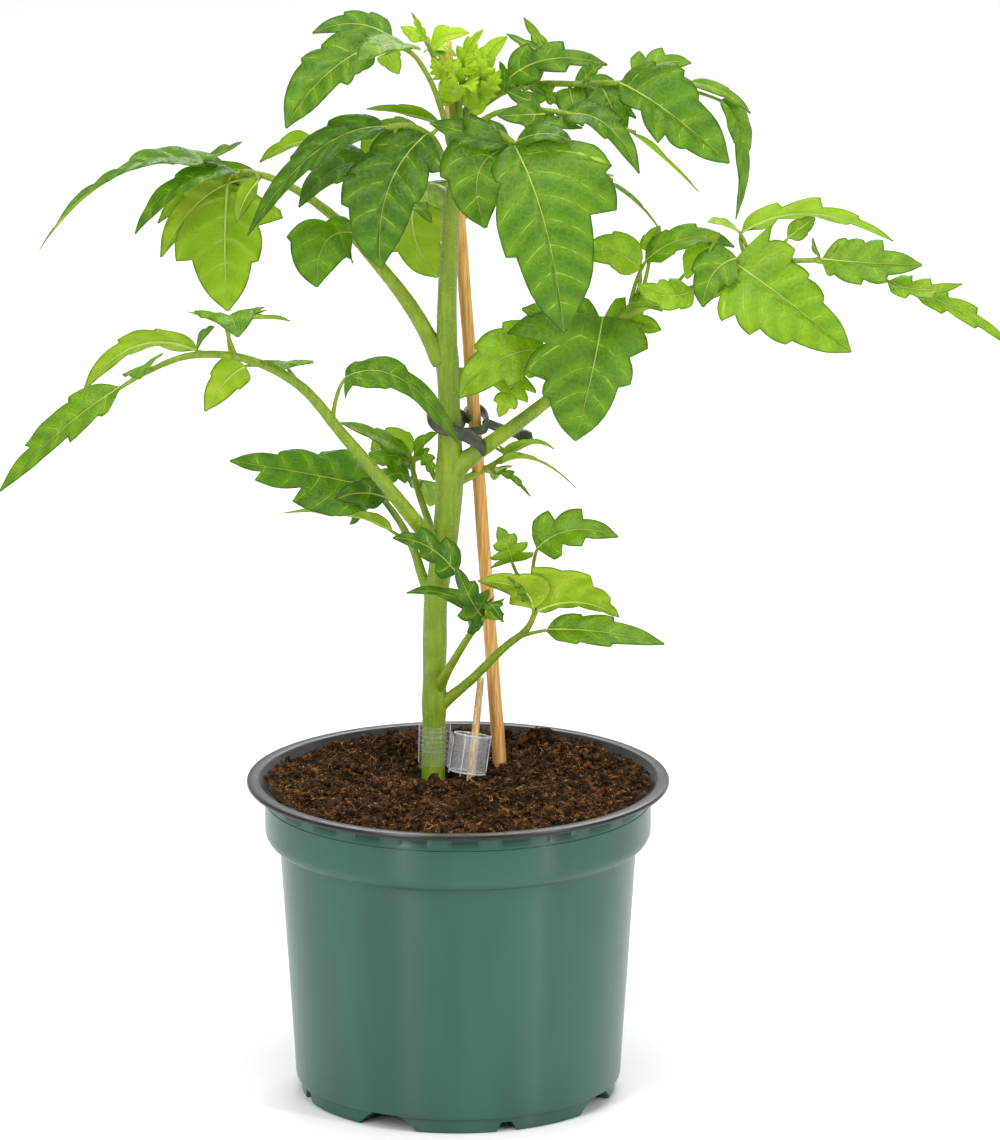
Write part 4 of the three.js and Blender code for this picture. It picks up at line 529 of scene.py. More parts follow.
class Signal:
    """A shader socket that takes part in Python arithmetic."""

    def __init__(self, shader: "Shader", socket: bpy.types.NodeSocket) -> None:
        """Keep the socket and the material that it belongs to."""
        self.shader = shader
        self.socket = socket

    def maths(
        self, operation: str, *others: "Signal | float", first: "Signal | float | None" = None
    ) -> "Signal":
        """A Math node on this signal and others, with first before it for reflected operators."""
        inputs = [self, *others] if first is None else [first, self, *others]
        return self.shader.node("ShaderNodeMath", {"operation": operation}, dict(enumerate(inputs)))

    def __add__(self, other: "Signal | float") -> "Signal":
        """This plus other."""
        return self.maths("ADD", other)

    def __radd__(self, other: "Signal | float") -> "Signal":
        """Other plus this."""
        return self.maths("ADD", first=other)

    def __sub__(self, other: "Signal | float") -> "Signal":
        """This minus other."""
        return self.maths("SUBTRACT", other)

    def __rsub__(self, other: "Signal | float") -> "Signal":
        """Other minus this."""
        return self.maths("SUBTRACT", first=other)

    def __mul__(self, other: "Signal | float") -> "Signal":
        """This times other."""
        return self.maths("MULTIPLY", other)

    def __rmul__(self, other: "Signal | float") -> "Signal":
        """Other times this."""
        return self.maths("MULTIPLY", first=other)

    def __truediv__(self, other: "Signal | float") -> "Signal":
        """This over other."""
        return self.maths("DIVIDE", other)

    def __rtruediv__(self, other: "Signal | float") -> "Signal":
        """Other over this."""
        return self.maths("DIVIDE", first=other)

    def __abs__(self) -> "Signal":
        """Size of this."""
        return self.maths("ABSOLUTE")

    def part(self) -> "Signal":
        """What is left of this past a whole number."""
        return self.maths("FRACT")

    def least(self, other: "Signal | float") -> "Signal":
        """The smaller of this and other."""
        return self.maths("MINIMUM", other)

    def most(self, other: "Signal | float") -> "Signal":
        """The larger of this and other."""
        return self.maths("MAXIMUM", other)

    def rise(self, low: float, high: float) -> "Signal":
        """A smooth step from 0, where this is low, to 1, where it is high."""
        return self.shader.node(
            "ShaderNodeMapRange",
            {"interpolation_type": "SMOOTHSTEP"},
            {"Value": self, "From Min": low, "From Max": high},
        )


def srgb(red: int, green: int, blue: int) -> Colour:
    """Linear colour of a display colour.

    Args:
        red: Red, 0 to 255.
        green: Green, 0 to 255.
        blue: Blue, 0 to 255.

    Returns:
        The linear colour.
    """

    def linear(value: int) -> float:
        """Linear share of one channel."""
        share = value / 255
        return share / 12.92 if share <= 0.04045 else ((share + 0.055) / 1.055) ** 2.4

    return linear(red), linear(green), linear(blue)


class Shader:
    """A material whose nodes are being made."""

    def __init__(self, name: str) -> None:
        """Start an empty node material.

        Args:
            name: The material's name.
        """
        self.material = bpy.data.materials.new(name)
        self.material.use_nodes = True
        self.tree = self.material.node_tree
        self.tree.nodes.clear()
        self.output = self.tree.nodes.new("ShaderNodeOutputMaterial")

    def feed(self, socket: bpy.types.NodeSocket, value: "Signal | float | Sequence[float]") -> None:
        """Link a signal to a socket, or set its constant.

        Args:
            socket: The input.
            value: A signal, a number, a colour or a vector.
        """
        if isinstance(value, Signal):
            self.tree.links.new(value.socket, socket)
        elif isinstance(value, (int, float)):
            socket.default_value = value
        elif socket.type == "RGBA" and len(value) == 3:
            socket.default_value = (*value, 1.0)
        else:
            socket.default_value = tuple(value)

    def node(
        self, kind: str, settings: dict | None = None, sockets: dict | None = None, output: int | str = 0
    ) -> Signal:
        """Any node.

        Args:
            kind: The node's type.
            settings: Its properties, set first; "stops" lists a colour ramp's positions and colours.
            sockets: Values or signals by input name or number.
            output: Which output to return.

        Returns:
            That output.
        """
        made = self.tree.nodes.new(kind)
        for key, value in (settings or {}).items():
            if key == "stops":
                self.set_stops(made.color_ramp, value)
            else:
                setattr(made, key, value)
        for key, value in (sockets or {}).items():
            self.feed(made.inputs[key], value)
        return Signal(self, made.outputs[output])

    @staticmethod
    def set_stops(ramp: bpy.types.ColorRamp, stops: Sequence[tuple[float, Colour]]) -> None:
        """Give a colour ramp its stops.

        Args:
            ramp: The ramp.
            stops: Positions and colours.
        """
        while len(ramp.elements) < len(stops):
            ramp.elements.new(0.5)
        for element, (position, colour) in zip(ramp.elements, stops):
            element.position = position
            element.color = (*colour, 1.0)

    def mix(self, share: Signal | float, first: Signal | Colour, second: Signal | Colour) -> Signal:
        """Blend two colours; share is how much of the second."""
        return self.node("ShaderNodeMix", {"data_type": "RGBA"}, {0: share, 6: first, 7: second}, 2)

    def place(self) -> Signal:
        """Object coordinates, in metres."""
        return self.node("ShaderNodeTexCoord", output="Object")

    def grain(
        self, size: float, detail: float = 2.0, where: Signal | None = None, rough: float = 0.5
    ) -> Signal:
        """Noise, 0 to 1, whose lumps are about size millimetres; rough is the strength of finer octaves."""
        place = where or self.place()
        return self.node(
            "ShaderNodeTexNoise",
            {"noise_dimensions": "3D"},
            {"Vector": place, "Scale": 1.0 / (size * MM), "Detail": detail, "Roughness": rough},
        )

    def carried(self, name: str) -> list[Signal]:
        """The three numbers of a vector that the mesh carries."""
        vector = self.node("ShaderNodeAttribute", {"attribute_name": name}, output="Vector")
        return [self.node("ShaderNodeSeparateXYZ", None, {0: vector}, axis) for axis in range(3)]

    def stretched(self, scale: Colour) -> Signal:
        """Object coordinates scaled along each axis."""
        return self.node("ShaderNodeVectorMath", {"operation": "MULTIPLY"}, {0: self.place(), 1: scale})

    def relief(self, height: Signal, depth: float, strength: float = 1.0) -> Signal:
        """The normal of a height from 0 to 1 that is depth millimetres deep."""
        sockets = {"Height": height, "Distance": depth * MM, "Strength": strength}
        return self.node("ShaderNodeBump", None, sockets)

    def skin(self, **sockets: Signal | float | Sequence[float]) -> Signal:
        """A Principled surface; sockets are named with _ for the spaces."""
        named = {key.replace("_", " "): value for key, value in sockets.items()}
        return self.node("ShaderNodeBsdfPrincipled", None, named)

    def see_through(self, surface: Signal, colour: Colour, share: float, normal: Signal) -> Signal:
        """A surface that lets a share of the light through it, tinted with colour."""
        through = self.node("ShaderNodeBsdfTranslucent", None, {"Color": colour, "Normal": normal})
        return self.node("ShaderNodeMixShader", None, {0: share, 1: surface, 2: through})

    def done(self, surface: Signal) -> bpy.types.Material:
        """Finish the material with its surface."""
        self.tree.links.new(surface.socket, self.output.inputs["Surface"])
        return self.material


# ---- Finishes ----

# What a leaflet's mesh carries. VEIN_PLACE: side veins counted from the base, millimetres from the midrib and
# from the margin. BLADE_KIND: millimetres between side veins, tone of the leaflet, share of the way along.
VEIN_PLACE = "vein_place"
BLADE_KIND = "blade_kind"


@dataclass(frozen=True)
class BladeFinish:
    """One face of a leaflet: flesh, veins, cell relief and the light that comes through.

    Widths, net_cell and the relief's depth are in millimetres. Shares say how strong the veins show.
    """

    name: str
    dark: Colour
    light: Colour
    young_dark: Colour
    young: Colour
    vein: Colour
    edge: Colour
    through: Colour
    side_share: float
    rib_share: float
    vein_width: float
    vein_rise: float
    sheen: float
    roughness: float
    passed: float
    net_cell: float = 2.7
    net_share: float = 0.1
    depth: float = 0.7

    def material(self) -> bpy.types.Material:
        """The finish as a material."""
        shader = Shader(self.name)
        count, out, margin = shader.carried(VEIN_PLACE)
        spacing, tone, along = shader.carried(BLADE_KIND)
        wander = shader.grain(3.4) - 0.5
        side = abs((count + 0.5).part() - 0.5) * spacing + wander * 0.7
        inner = margin.rise(0.3, 3.5)
        side_vein = (1.0 - abs(side).rise(self.vein_width * 0.3, self.vein_width * 0.8)) * inner
        midrib = 1.0 - (abs(out) + along * 0.22).rise(self.vein_width * 0.9, self.vein_width * 1.9)
        swirl = shader.grain(2.2, 1.0)
        shift = {0: shader.place(), 1: swirl * 0.0009}
        net_place = shader.node("ShaderNodeVectorMath", {"operation": "ADD"}, shift)
        net = shader.node(
            "ShaderNodeTexVoronoi",
            {"feature": "DISTANCE_TO_EDGE"},
            {"Vector": net_place, "Scale": 1.0 / (self.net_cell * MM), "Randomness": 1.0},
        )
        net_line = (1.0 - net.rise(0.0, 0.13)) * inner
        cloud = shader.grain(11.0)
        fine = shader.grain(0.8)
        beside_vein = (1.0 - (side / spacing * 2.6).least(1.0)) * 0.26
        paler = (cloud * 0.5 + fine * 0.28 + beside_vein + tone * 0.5).rise(0.22, 1.0)
        youth = tone.rise(0.3, 1.0) * 0.9
        shade = shader.mix(youth, self.dark, self.young_dark)
        flesh = shader.mix(paler, shade, shader.mix(youth, self.light, self.young))
        veins = (side_vein * self.side_share).most(midrib * self.rib_share)
        veins = veins.most(net_line * self.side_share * self.net_share)
        painted = shader.mix(veins, flesh, self.vein)
        painted = shader.mix((1.0 - margin.rise(0.15, 0.7)) * (0.72 - youth * 0.6), painted, self.edge)
        pillow = net.rise(0.0, 0.3) * 0.18 - veins * self.vein_rise
        height = fine * 0.16 + cloud * 0.14 + pillow + (side / spacing * 2.0).least(1.0) * 0.5
        normal = shader.relief(height, self.depth)
        rough = fine * 0.2 + (self.roughness - 0.1)
        surface = shader.skin(
            Base_Color=painted,
            Roughness=rough,
            Normal=normal,
            Sheen_Weight=self.sheen,
            Sheen_Roughness=0.35,
            Sheen_Tint=(0.9, 1.0, 0.7, 1.0),
            Specular_IOR_Level=0.38,
        )
        return shader.done(shader.see_through(surface, self.through, self.passed, normal))


BLADE_TOP = BladeFinish(
    name="leaf_top",
    dark=srgb(30, 64, 0),
    light=srgb(104, 142, 2),
    young_dark=srgb(112, 154, 8),
    young=srgb(190, 218, 30),
    vein=srgb(192, 216, 96),
    edge=srgb(38, 52, 10),
    through=(0.4, 0.76, 0.006),
    side_share=0.66,
    rib_share=0.88,
    vein_width=0.22,
    vein_rise=0.5,
    sheen=0.05,
    roughness=0.42,
    passed=0.3,
)
BLADE_UNDER = BladeFinish(
    name="leaf_underside",
    dark=srgb(156, 192, 26),
    light=srgb(198, 222, 48),
    young_dark=srgb(160, 196, 44),
    young=srgb(204, 230, 84),
    vein=srgb(212, 230, 132),
    edge=srgb(70, 96, 28),
    through=(0.56, 0.88, 0.02),
    side_share=0.55,
    rib_share=0.75,
    vein_width=0.28,
    vein_rise=-0.5,
    sheen=0.12,
    roughness=0.55,
    passed=0.46,
)


@dataclass(frozen=True)
class SkinFinish:
    """Green skin of stem and stalks, streaked along its length."""

    name: str
    dark: Colour
    light: Colour
    blush: Colour

    def material(self) -> bpy.types.Material:
        """The finish as a material."""
        shader = Shader(self.name)
        streaks = shader.grain(1.1, 3.0, shader.stretched((1.0, 1.0, 0.12)))
        cloud = shader.grain(9.0)
        pores = shader.grain(0.35, 1.0)
        flesh = shader.mix((streaks * 0.6 + pores * 0.2 + 0.1).rise(0.2, 0.85), self.dark, self.light)
        flesh = shader.mix(cloud.rise(0.5, 0.8) * 0.45, flesh, self.blush)
        normal = shader.relief(streaks * 0.6 + pores * 0.4, 0.25, 0.7)
        surface = shader.skin(
            Base_Color=flesh,
            Roughness=pores * 0.2 + 0.36,
            Normal=normal,
            Sheen_Weight=0.05,
            Sheen_Roughness=0.4,
            Sheen_Tint=(0.95, 1.0, 0.85, 1.0),
            Subsurface_Weight=0.12,
            Subsurface_Radius=(0.6, 1.0, 0.2),
            Subsurface_Scale=0.0015,
        )
        return shader.done(surface)


STEM_SKIN = SkinFinish("stem_skin", srgb(90, 122, 0), srgb(146, 170, 8), srgb(168, 188, 32))
RIB_SKIN = SkinFinish("rib_skin", srgb(158, 188, 60), srgb(190, 214, 98), srgb(200, 220, 120))


@dataclass(frozen=True)
class HairFinish:
    """Pale, faintly see-through plant hairs."""

    dull: Colour = srgb(214, 222, 180)
    bright: Colour = srgb(240, 244, 226)
    through: Colour = (0.82, 0.88, 0.66)
    passed: float = 0.35

    def material(self) -> bpy.types.Material:
        """The finish as a material."""
        shader = Shader("plant_hair")
        tint = shader.mix(shader.grain(3.0, 1.0), self.dull, self.bright)
        surface = shader.skin(Base_Color=tint, Roughness=0.45, Specular_IOR_Level=0.4)
        normal = shader.relief(shader.grain(0.5, 1.0), 0.02, 0.2)
        return shader.done(shader.see_through(surface, self.through, self.passed, normal))


@dataclass(frozen=True)
class PotFinish:
    """Semi-gloss moulded green plastic with faint flow marks, dust and scuffs."""

    name: str
    dark: Colour
    light: Colour
    dusty: Colour = srgb(112, 132, 114)
    roughness: float = 0.3

    def material(self) -> bpy.types.Material:
        """The finish as a material."""
        shader = Shader(self.name)
        flow = shader.grain(26.0, 2.0, shader.stretched((1.0, 1.0, 0.25)))
        dust = shader.grain(1.2, 4.0, rough=0.7).rise(0.6, 0.86)
        scuff = shader.grain(2.2, 3.0, shader.stretched((0.25, 0.25, 2.2))).rise(0.66, 0.84)
        green = shader.mix(flow.rise(0.35, 0.65), self.dark, self.light)
        green = shader.mix(dust * 0.12 + scuff * 0.08, green, self.dusty)
        peel = shader.grain(0.8)
        normal = shader.relief(peel * 0.5 + flow * 0.5, 0.05, 0.35)
        surface = shader.skin(
            Base_Color=green,
            Roughness=flow * 0.06 + dust * 0.2 + scuff * 0.12 + self.roughness,
            Normal=normal,
            Specular_IOR_Level=0.62,
            Anisotropic=0.92,
            Anisotropic_Rotation=0.25,
        )
        return shader.done(surface)


@dataclass(frozen=True)
class LipFinish:
    """Black moulded plastic of the lip and the inside, dusty from the soil."""

    dark: Colour = srgb(14, 13, 13)
    worn: Colour = srgb(32, 28, 25)
    dusty: Colour = srgb(84, 64, 48)
    roughness: float = 0.3

    def material(self) -> bpy.types.Material:
        """The finish as a material."""
        shader = Shader("pot_black")
        dust = shader.grain(0.9, 4.0, rough=0.75).rise(0.56, 0.8)
        smear = shader.grain(9.0, 3.0).rise(0.45, 0.75)
        black = shader.mix(smear * 0.5, self.dark, self.worn)
        black = shader.mix(dust * 0.4, black, self.dusty)
        normal = shader.relief(dust * 0.6 + shader.grain(0.6, 1.0) * 0.4, 0.06, 0.5)
        rough = dust * 0.3 + smear * 0.14 + self.roughness
        return shader.done(shader.skin(Base_Color=black, Roughness=rough, Normal=normal))


SOIL_LOW, SOIL_HIGH = 101.4, 104.9  # below these heights the soil is darkened as painted shade, darkest in the low hollows; above them it keeps its own colour; in millimetres


@dataclass(frozen=True)
class EarthFinish:
    """Peat, crumbs or fibres: lumpy colour and rough, with painted shade darkening the low hollows."""

    name: str
    deep: Colour
    middle: Colour
    pale: Colour
    lump: float

    def material(self) -> bpy.types.Material:
        """The finish as a material."""
        shader = Shader(self.name)
        lumps = shader.grain(self.lump, 4.0, rough=0.65)
        damp = shader.grain(self.lump * 4.0).rise(0.46, 0.62)
        specks = shader.grain(self.lump * 0.22).rise(0.62, 0.78)
        earth = shader.node(
            "ShaderNodeValToRGB",
            {"stops": [(0.34, self.deep), (0.5, self.middle), (0.68, self.pale)]},
            {"Fac": lumps},
        )
        up = shader.node("ShaderNodeSeparateXYZ", None, {0: shader.place()}, 2)
        # Painted shade: the lower the surface lies, the darker it is painted, so the hollows look shaded.
        earth = shader.mix((1.0 - up.rise(SOIL_LOW * MM, SOIL_HIGH * MM)) * 0.7, earth, self.deep)
        earth = shader.mix(damp * 0.72, earth, self.deep)
        earth = shader.mix(specks * 0.35, earth, self.pale)
        normal = shader.relief(lumps * 0.6 + shader.grain(self.lump * 0.2) * 0.4, self.lump * 0.12, 0.9)
        rough = lumps * 0.2 + 0.78
        return shader.done(
            shader.skin(Base_Color=earth, Roughness=rough, Normal=normal, Specular_IOR_Level=0.12)
        )


@dataclass(frozen=True)
class WoodFinish:
    """Split wooden stick: long fibres, darker streaks and small pits."""

    name: str
    pale: Colour
    dark: Colour

    def material(self) -> bpy.types.Material:
        """The finish as a material."""
        shader = Shader(self.name)
        fibres = shader.grain(0.7, 3.0, shader.stretched((1.0, 1.0, 0.05)))
        bands = shader.grain(14.0, 2.0, shader.stretched((1.0, 1.0, 0.4)))
        pits = shader.grain(0.5, 2.0, shader.stretched((1.0, 1.0, 0.35))).rise(0.66, 0.8)
        wood = shader.mix((fibres * 0.75 + bands * 0.25).rise(0.36, 0.68), self.dark, self.pale)
        wood = shader.mix(pits * 0.5, wood, self.dark)
        normal = shader.relief(fibres, 0.12, 0.6)
        return shader.done(shader.skin(Base_Color=wood, Roughness=fibres * 0.2 + 0.5, Normal=normal))


@dataclass(frozen=True)
class ClearFinish:
    """Clear soft plastic, slightly clouded; cover is how much it hides of what is behind it."""

    name: str
    cover: float
    bright: Colour = (0.9, 0.93, 0.96)
    dull: Colour = (0.74, 0.79, 0.83)

    def material(self) -> bpy.types.Material:
        """The finish as a material."""
        shader = Shader(self.name)
        cloud = shader.grain(2.4, 3.0)
        lines = shader.grain(0.9, 2.0, shader.stretched((1.0, 1.0, 0.1)))
        surface = shader.skin(
            Base_Color=shader.mix(cloud.rise(0.4, 0.7), self.bright, self.dull),
            Roughness=cloud * 0.12 + 0.1,
            Normal=shader.relief(cloud * 0.5 + lines * 0.5, 0.1, 0.6),
            Alpha=(lines.rise(0.5, 0.75) + cloud + 0.2) * self.cover,
            Specular_IOR_Level=0.7,
        )
        return shader.done(surface)


@dataclass(frozen=True)
class ClipFinish:
    """Dark grey-green moulded plastic of the stem clip."""

    dark: Colour = srgb(46, 52, 40)
    light: Colour = srgb(70, 79, 58)

    def material(self) -> bpy.types.Material:
        """The finish as a material."""
        shader = Shader("dark_clip")
        cloud = shader.grain(3.0, 3.0)
        normal = shader.relief(shader.grain(0.5), 0.05, 0.5)
        tint = shader.mix(cloud.rise(0.35, 0.7), self.dark, self.light)
        return shader.done(shader.skin(Base_Color=tint, Roughness=cloud * 0.18 + 0.34, Normal=normal))


@dataclass(frozen=True)
class FloorFinish:
    """Plain pale floor."""

    dark: Colour = (0.92, 0.92, 0.92)
    light: Colour = (0.94, 0.94, 0.94)

    def material(self) -> bpy.types.Material:
        """The finish as a material."""
        shader = Shader("studio_floor")
        tint = shader.mix(shader.grain(900.0, 1.0), self.dark, self.light)
        return shader.done(shader.skin(Base_Color=tint, Roughness=0.9, Specular_IOR_Level=0.1))


# ---- Mesh tools ----


@dataclass
class Surface:
    """A mesh being gathered: points in millimetres, faces, and what each point and face carries."""

    points: list[Array] = field(default_factory=list)
    faces: list[Array] = field(default_factory=list)
    finishes: list[Array] = field(default_factory=list)
    extras: list[Array] = field(default_factory=list)
    count: int = 0

    def add(self, points: Array, faces: Array, finish: int = 0, extra: Array | None = None) -> None:
        """Add a patch.

        Args:
            points: Its points, one row each.
            faces: Its faces, each a row of three or four point numbers.
            finish: Number of its material slot.
            extra: Six numbers for each point, for a leaf's veins.
        """
        self.points.append(points)
        self.patch(faces + self.count, finish)
        self.extras.append(np.zeros((len(points), 6)) if extra is None else extra)
        self.count += len(points)

    def patch(self, faces: Array, finish: int) -> None:
        """Add faces between points that are already there."""
        self.faces.append(faces)
        self.finishes.append(np.full(len(faces), finish, dtype=np.int32))

    def add_capped(self, rings: Array, ends: Array, finish: int = 0) -> None:
        """Add rings of points, joined to a tube and closed at both ends.

        Args:
            rings: Points by ring, by place round it and by axis.
            ends: Middle points of its two ends.
            finish: Number of its material slot.
        """
        rows, columns = rings.shape[:2]
        every = np.vstack([rings.reshape(-1, 3), ends])
        self.add(every, grid_faces(rows, columns, closed=True), finish)
        index = np.arange(columns)
        beside = (index + 1) % columns
        last = (rows - 1) * columns
        head = np.stack([np.full(columns, len(every) - 2), beside, index], axis=1)
        tail = np.stack([np.full(columns, len(every) - 1), last + index, last + beside], axis=1)
        self.patch(np.vstack([head, tail]) + self.count - len(every), finish)

    def piece(
        self,
        name: str,
        materials: Sequence[bpy.types.Material],
        replaced: Sequence[str] = (),
        crease: float | None = None,
    ) -> None:
        """Make the mesh object, riding on the plant's one body.

        Args:
            name: The piece's name.
            materials: Its materials, in slot order.
            replaced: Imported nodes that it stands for.
            crease: Edges sharper than this, in degrees, are kept sharp; none if left out.
        """
        mesh = bpy.data.meshes.new(name)
        points = np.concatenate(self.points) * MM
        loops = np.concatenate([faces.ravel() for faces in self.faces]).astype(np.int32)
        sizes = [np.full(len(faces), faces.shape[1], dtype=np.int32) for faces in self.faces]
        sizes = np.concatenate(sizes)
        starts = np.concatenate([[0], np.cumsum(sizes)[:-1]]).astype(np.int32)
        mesh.vertices.add(len(points))
        mesh.vertices.foreach_set("co", points.astype(np.float32).ravel())
        mesh.loops.add(len(loops))
        mesh.loops.foreach_set("vertex_index", loops)
        mesh.polygons.add(len(sizes))
        mesh.polygons.foreach_set("loop_start", starts)
        mesh.polygons.foreach_set("material_index", np.concatenate(self.finishes))
        mesh.update(calc_edges=True)
        mesh.validate(clean_customdata=False)
        mesh.shade_smooth()
        if crease is not None:
            mesh.set_sharp_from_angle(angle=math.radians(crease))
        for material in materials:
            mesh.materials.append(material)
        extras = np.concatenate(self.extras).astype(np.float32)
        if np.any(extras):
            for name_of, part in ((VEIN_PLACE, extras[:, :3]), (BLADE_KIND, extras[:, 3:])):
                layer = mesh.attributes.new(name_of, "FLOAT_VECTOR", "POINT")
                layer.data.foreach_set("vector", np.ascontiguousarray(part).ravel())
        made = bpy.data.objects.new(name, mesh)
        bpy.context.scene.collection.objects.link(made)
        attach(made, BODY)
        if replaced:
            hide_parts(*replaced)
        LOG.info("%s: %d faces", name, len(sizes))


def unit(vectors: Array) -> Array:
    """Vectors at length 1, along the last axis."""
    return vectors / np.maximum(np.linalg.norm(vectors, axis=-1, keepdims=True), 1e-9)


def circle(count: int) -> Array:
    """Angles of points spread evenly round a circle."""
    return np.linspace(0, 2 * math.pi, count, endpoint=False)


def way_along(points: Array) -> Array:
    """Distance along a path at each of its points."""
    return np.concatenate([[0.0], np.cumsum(np.linalg.norm(np.diff(points[:, :3], axis=0), axis=1))])


def grid_faces(rows: int, columns: int, closed: bool = False) -> Array:
    """Quads of a grid of points.

    Args:
        rows: Points along.
        columns: Points across.
        closed: True if the last column meets the first.

    Returns:
        The quads.
    """
    across = np.arange(columns if closed else columns - 1)
    row, column = np.meshgrid(np.arange(rows - 1), across, indexing="ij")
    low, high = row * columns, (row + 1) * columns
    beside = (column + 1) % columns
    quads = [low + column, low + beside, high + beside, high + column]
    return np.stack([quad.ravel() for quad in quads], axis=1)


def smooth_path(knots: Array, steps: int) -> Array:
    """A centripetal curve through knots, sampled evenly by knot.

    Args:
        knots: Rows of coordinates with a radius last.
        steps: Samples between two knots.

    Returns:
        The samples, with radii.
    """
    xyz = knots[:, :3]
    padded = np.vstack([2 * xyz[0] - xyz[1], xyz, 2 * xyz[-1] - xyz[-2]])
    samples = []
    for i in range(len(knots) - 1):
        a, b, c, d = padded[i : i + 4]
        gaps = [max(math.sqrt(np.linalg.norm(q - p)), 1e-6) for p, q in ((a, b), (b, c), (c, d))]
        leave = (b - a) / gaps[0] - (c - a) / (gaps[0] + gaps[1]) + (c - b) / gaps[1]
        arrive = (c - b) / gaps[1] - (d - b) / (gaps[1] + gaps[2]) + (d - c) / gaps[2]
        leave, arrive = leave * gaps[1], arrive * gaps[1]
        last = i == len(knots) - 2
        for t in np.linspace(0, 1, steps + 1)[: None if last else -1]:
            point = (
                (2 * t**3 - 3 * t**2 + 1) * b + (t**3 - 2 * t**2 + t) * leave
                + (3 * t**2 - 2 * t**3) * c + (t**3 - t**2) * arrive
            )
            samples.append([*point, knots[i, 3] + (knots[i + 1, 3] - knots[i, 3]) * t])
    return np.array(samples)


FIRST_ACROSS = np.array([0.02, 1.0, 0.05])  # direction that fixes a path's first frame


def walk_frames(points: Array) -> tuple[Array, Array, Array]:
    """Tangents and two directions across, turning as little as they can.

    Args:
        points: The path.

    Returns:
        Tangents, side directions and the directions across both.
    """
    along = unit(np.gradient(points, axis=0))
    side = unit(np.cross(along[0], FIRST_ACROSS))
    sides = []
    for run in along:
        side = unit(side - run * (side @ run))
        sides.append(side)
    sides = np.array(sides)
    return along, sides, np.cross(along, sides)


def add_tube(
    surface: Surface,
    path: Array,
    sides: int,
    finish: int = 0,
    shape: Callable[[Array, Array], Array] | None = None,
) -> None:
    """A closed tube along a path.

    Args:
        surface: Where it goes.
        path: Points with radii.
        sides: Points round it.
        finish: Its material slot.
        shape: Factor on the radius from (turn, distance along), if it isn't round.
    """
    along, side, other = walk_frames(path[:, :3])
    turn = circle(sides)
    far = way_along(path)
    radius = path[:, 3][:, None] * np.ones(sides)
    if shape is not None:
        radius = radius * shape(turn[None, :], far[:, None])
    cosine, sine = np.cos(turn)[None, :, None], np.sin(turn)[None, :, None]
    ring = side[:, None, :] * cosine + other[:, None, :] * sine
    points = path[:, None, :3] + ring * radius[:, :, None]
    low = path[0, :3] - along[0] * path[0, 3] * 0.3
    high = path[-1, :3] + along[-1] * path[-1, 3] * 0.5
    surface.add_capped(points, np.array([low, high]), finish)


THIRDS = (0.0, 2.0944, 4.1888)  # thirds of a turn
STEEP = 0.8  # share of a direction's height from which it counts as upright


def add_spikes(surface: Surface, roots: Array, tips: Array, radius: float) -> None:
    """Three-sided closed spikes, such as hairs.

    Args:
        surface: Where they go.
        roots: Where each starts.
        tips: Where each ends.
        radius: Radius of their roots.
    """
    run = unit(tips - roots)
    upright, level = np.array([[0.0, 0.0, 1.0]]), np.array([[1.0, 0.0, 0.0]])
    helper = np.where(np.abs(run[:, 2:3]) < STEEP, upright, level)
    side = unit(np.cross(run, helper))
    other = np.cross(run, side)
    corners = []
    for turn in THIRDS:
        corners.append(roots + (side * math.cos(turn) + other * math.sin(turn)) * radius)
    points = np.stack([*corners, tips], axis=1).reshape(-1, 3)
    base = np.arange(len(roots))[:, None] * 4
    sides = ([0, 1, 3], [1, 2, 3], [2, 0, 3], [2, 1, 0])
    faces = np.vstack([base + np.array([corner]) for corner in sides])
    surface.add(points, faces)


# ---- Leaves ----


def outline_of(teeth: Sequence[Place], lean: float, least: float) -> Array:
    """One side of a leaflet's outline, rounded between its teeth.

    Args:
        teeth: The form's teeth on that side.
        lean: How far forward the side veins run.
        least: Smallest distance from the midrib.

    Returns:
        Rows of (place where the side vein leaves the midrib, distance out), as fractions of the midrib.
    """
    spans = [(tooth[0], tooth[1], tooth[2], tooth[3]) for tooth in teeth] + [(1.0, 0.0, 0.0, 0.0)]
    rows: list[tuple[float, float]] = [(0.0, least)]
    start = (0.0, 0.0)
    last = 0.0

    def push(along: float, out: float) -> None:
        """Add a point, kept past the one before."""
        nonlocal last
        wide = max(out, least)
        last = max(last + 0.0025, along - lean * wide)
        rows.append((last, wide))

    for index, (tip_along, tip_out, notch_along, notch_out) in enumerate(spans):
        final = index == len(spans) - 1
        between = 9 if index == 0 else 7
        bulge = 0.25 if index == 0 else 0.11
        for step in range(1, between):
            share = step / between
            lift = bulge * math.sin(math.pi * share)
            push(
                start[0] + (tip_along - start[0]) * share - lift * (tip_out - start[1]),
                start[1] + (tip_out - start[1]) * share + lift * (tip_along - start[0]),
            )
        push(tip_along, tip_out)
        if not final:
            push(notch_along, notch_out)
            start = (notch_along, notch_out)
    table = np.array(rows)
    table[:, 0] *= 1.0 / table[-1, 0]
    return table


FORM_TONES = {Form.BROAD: -0.34}  # added to the leaf's tone


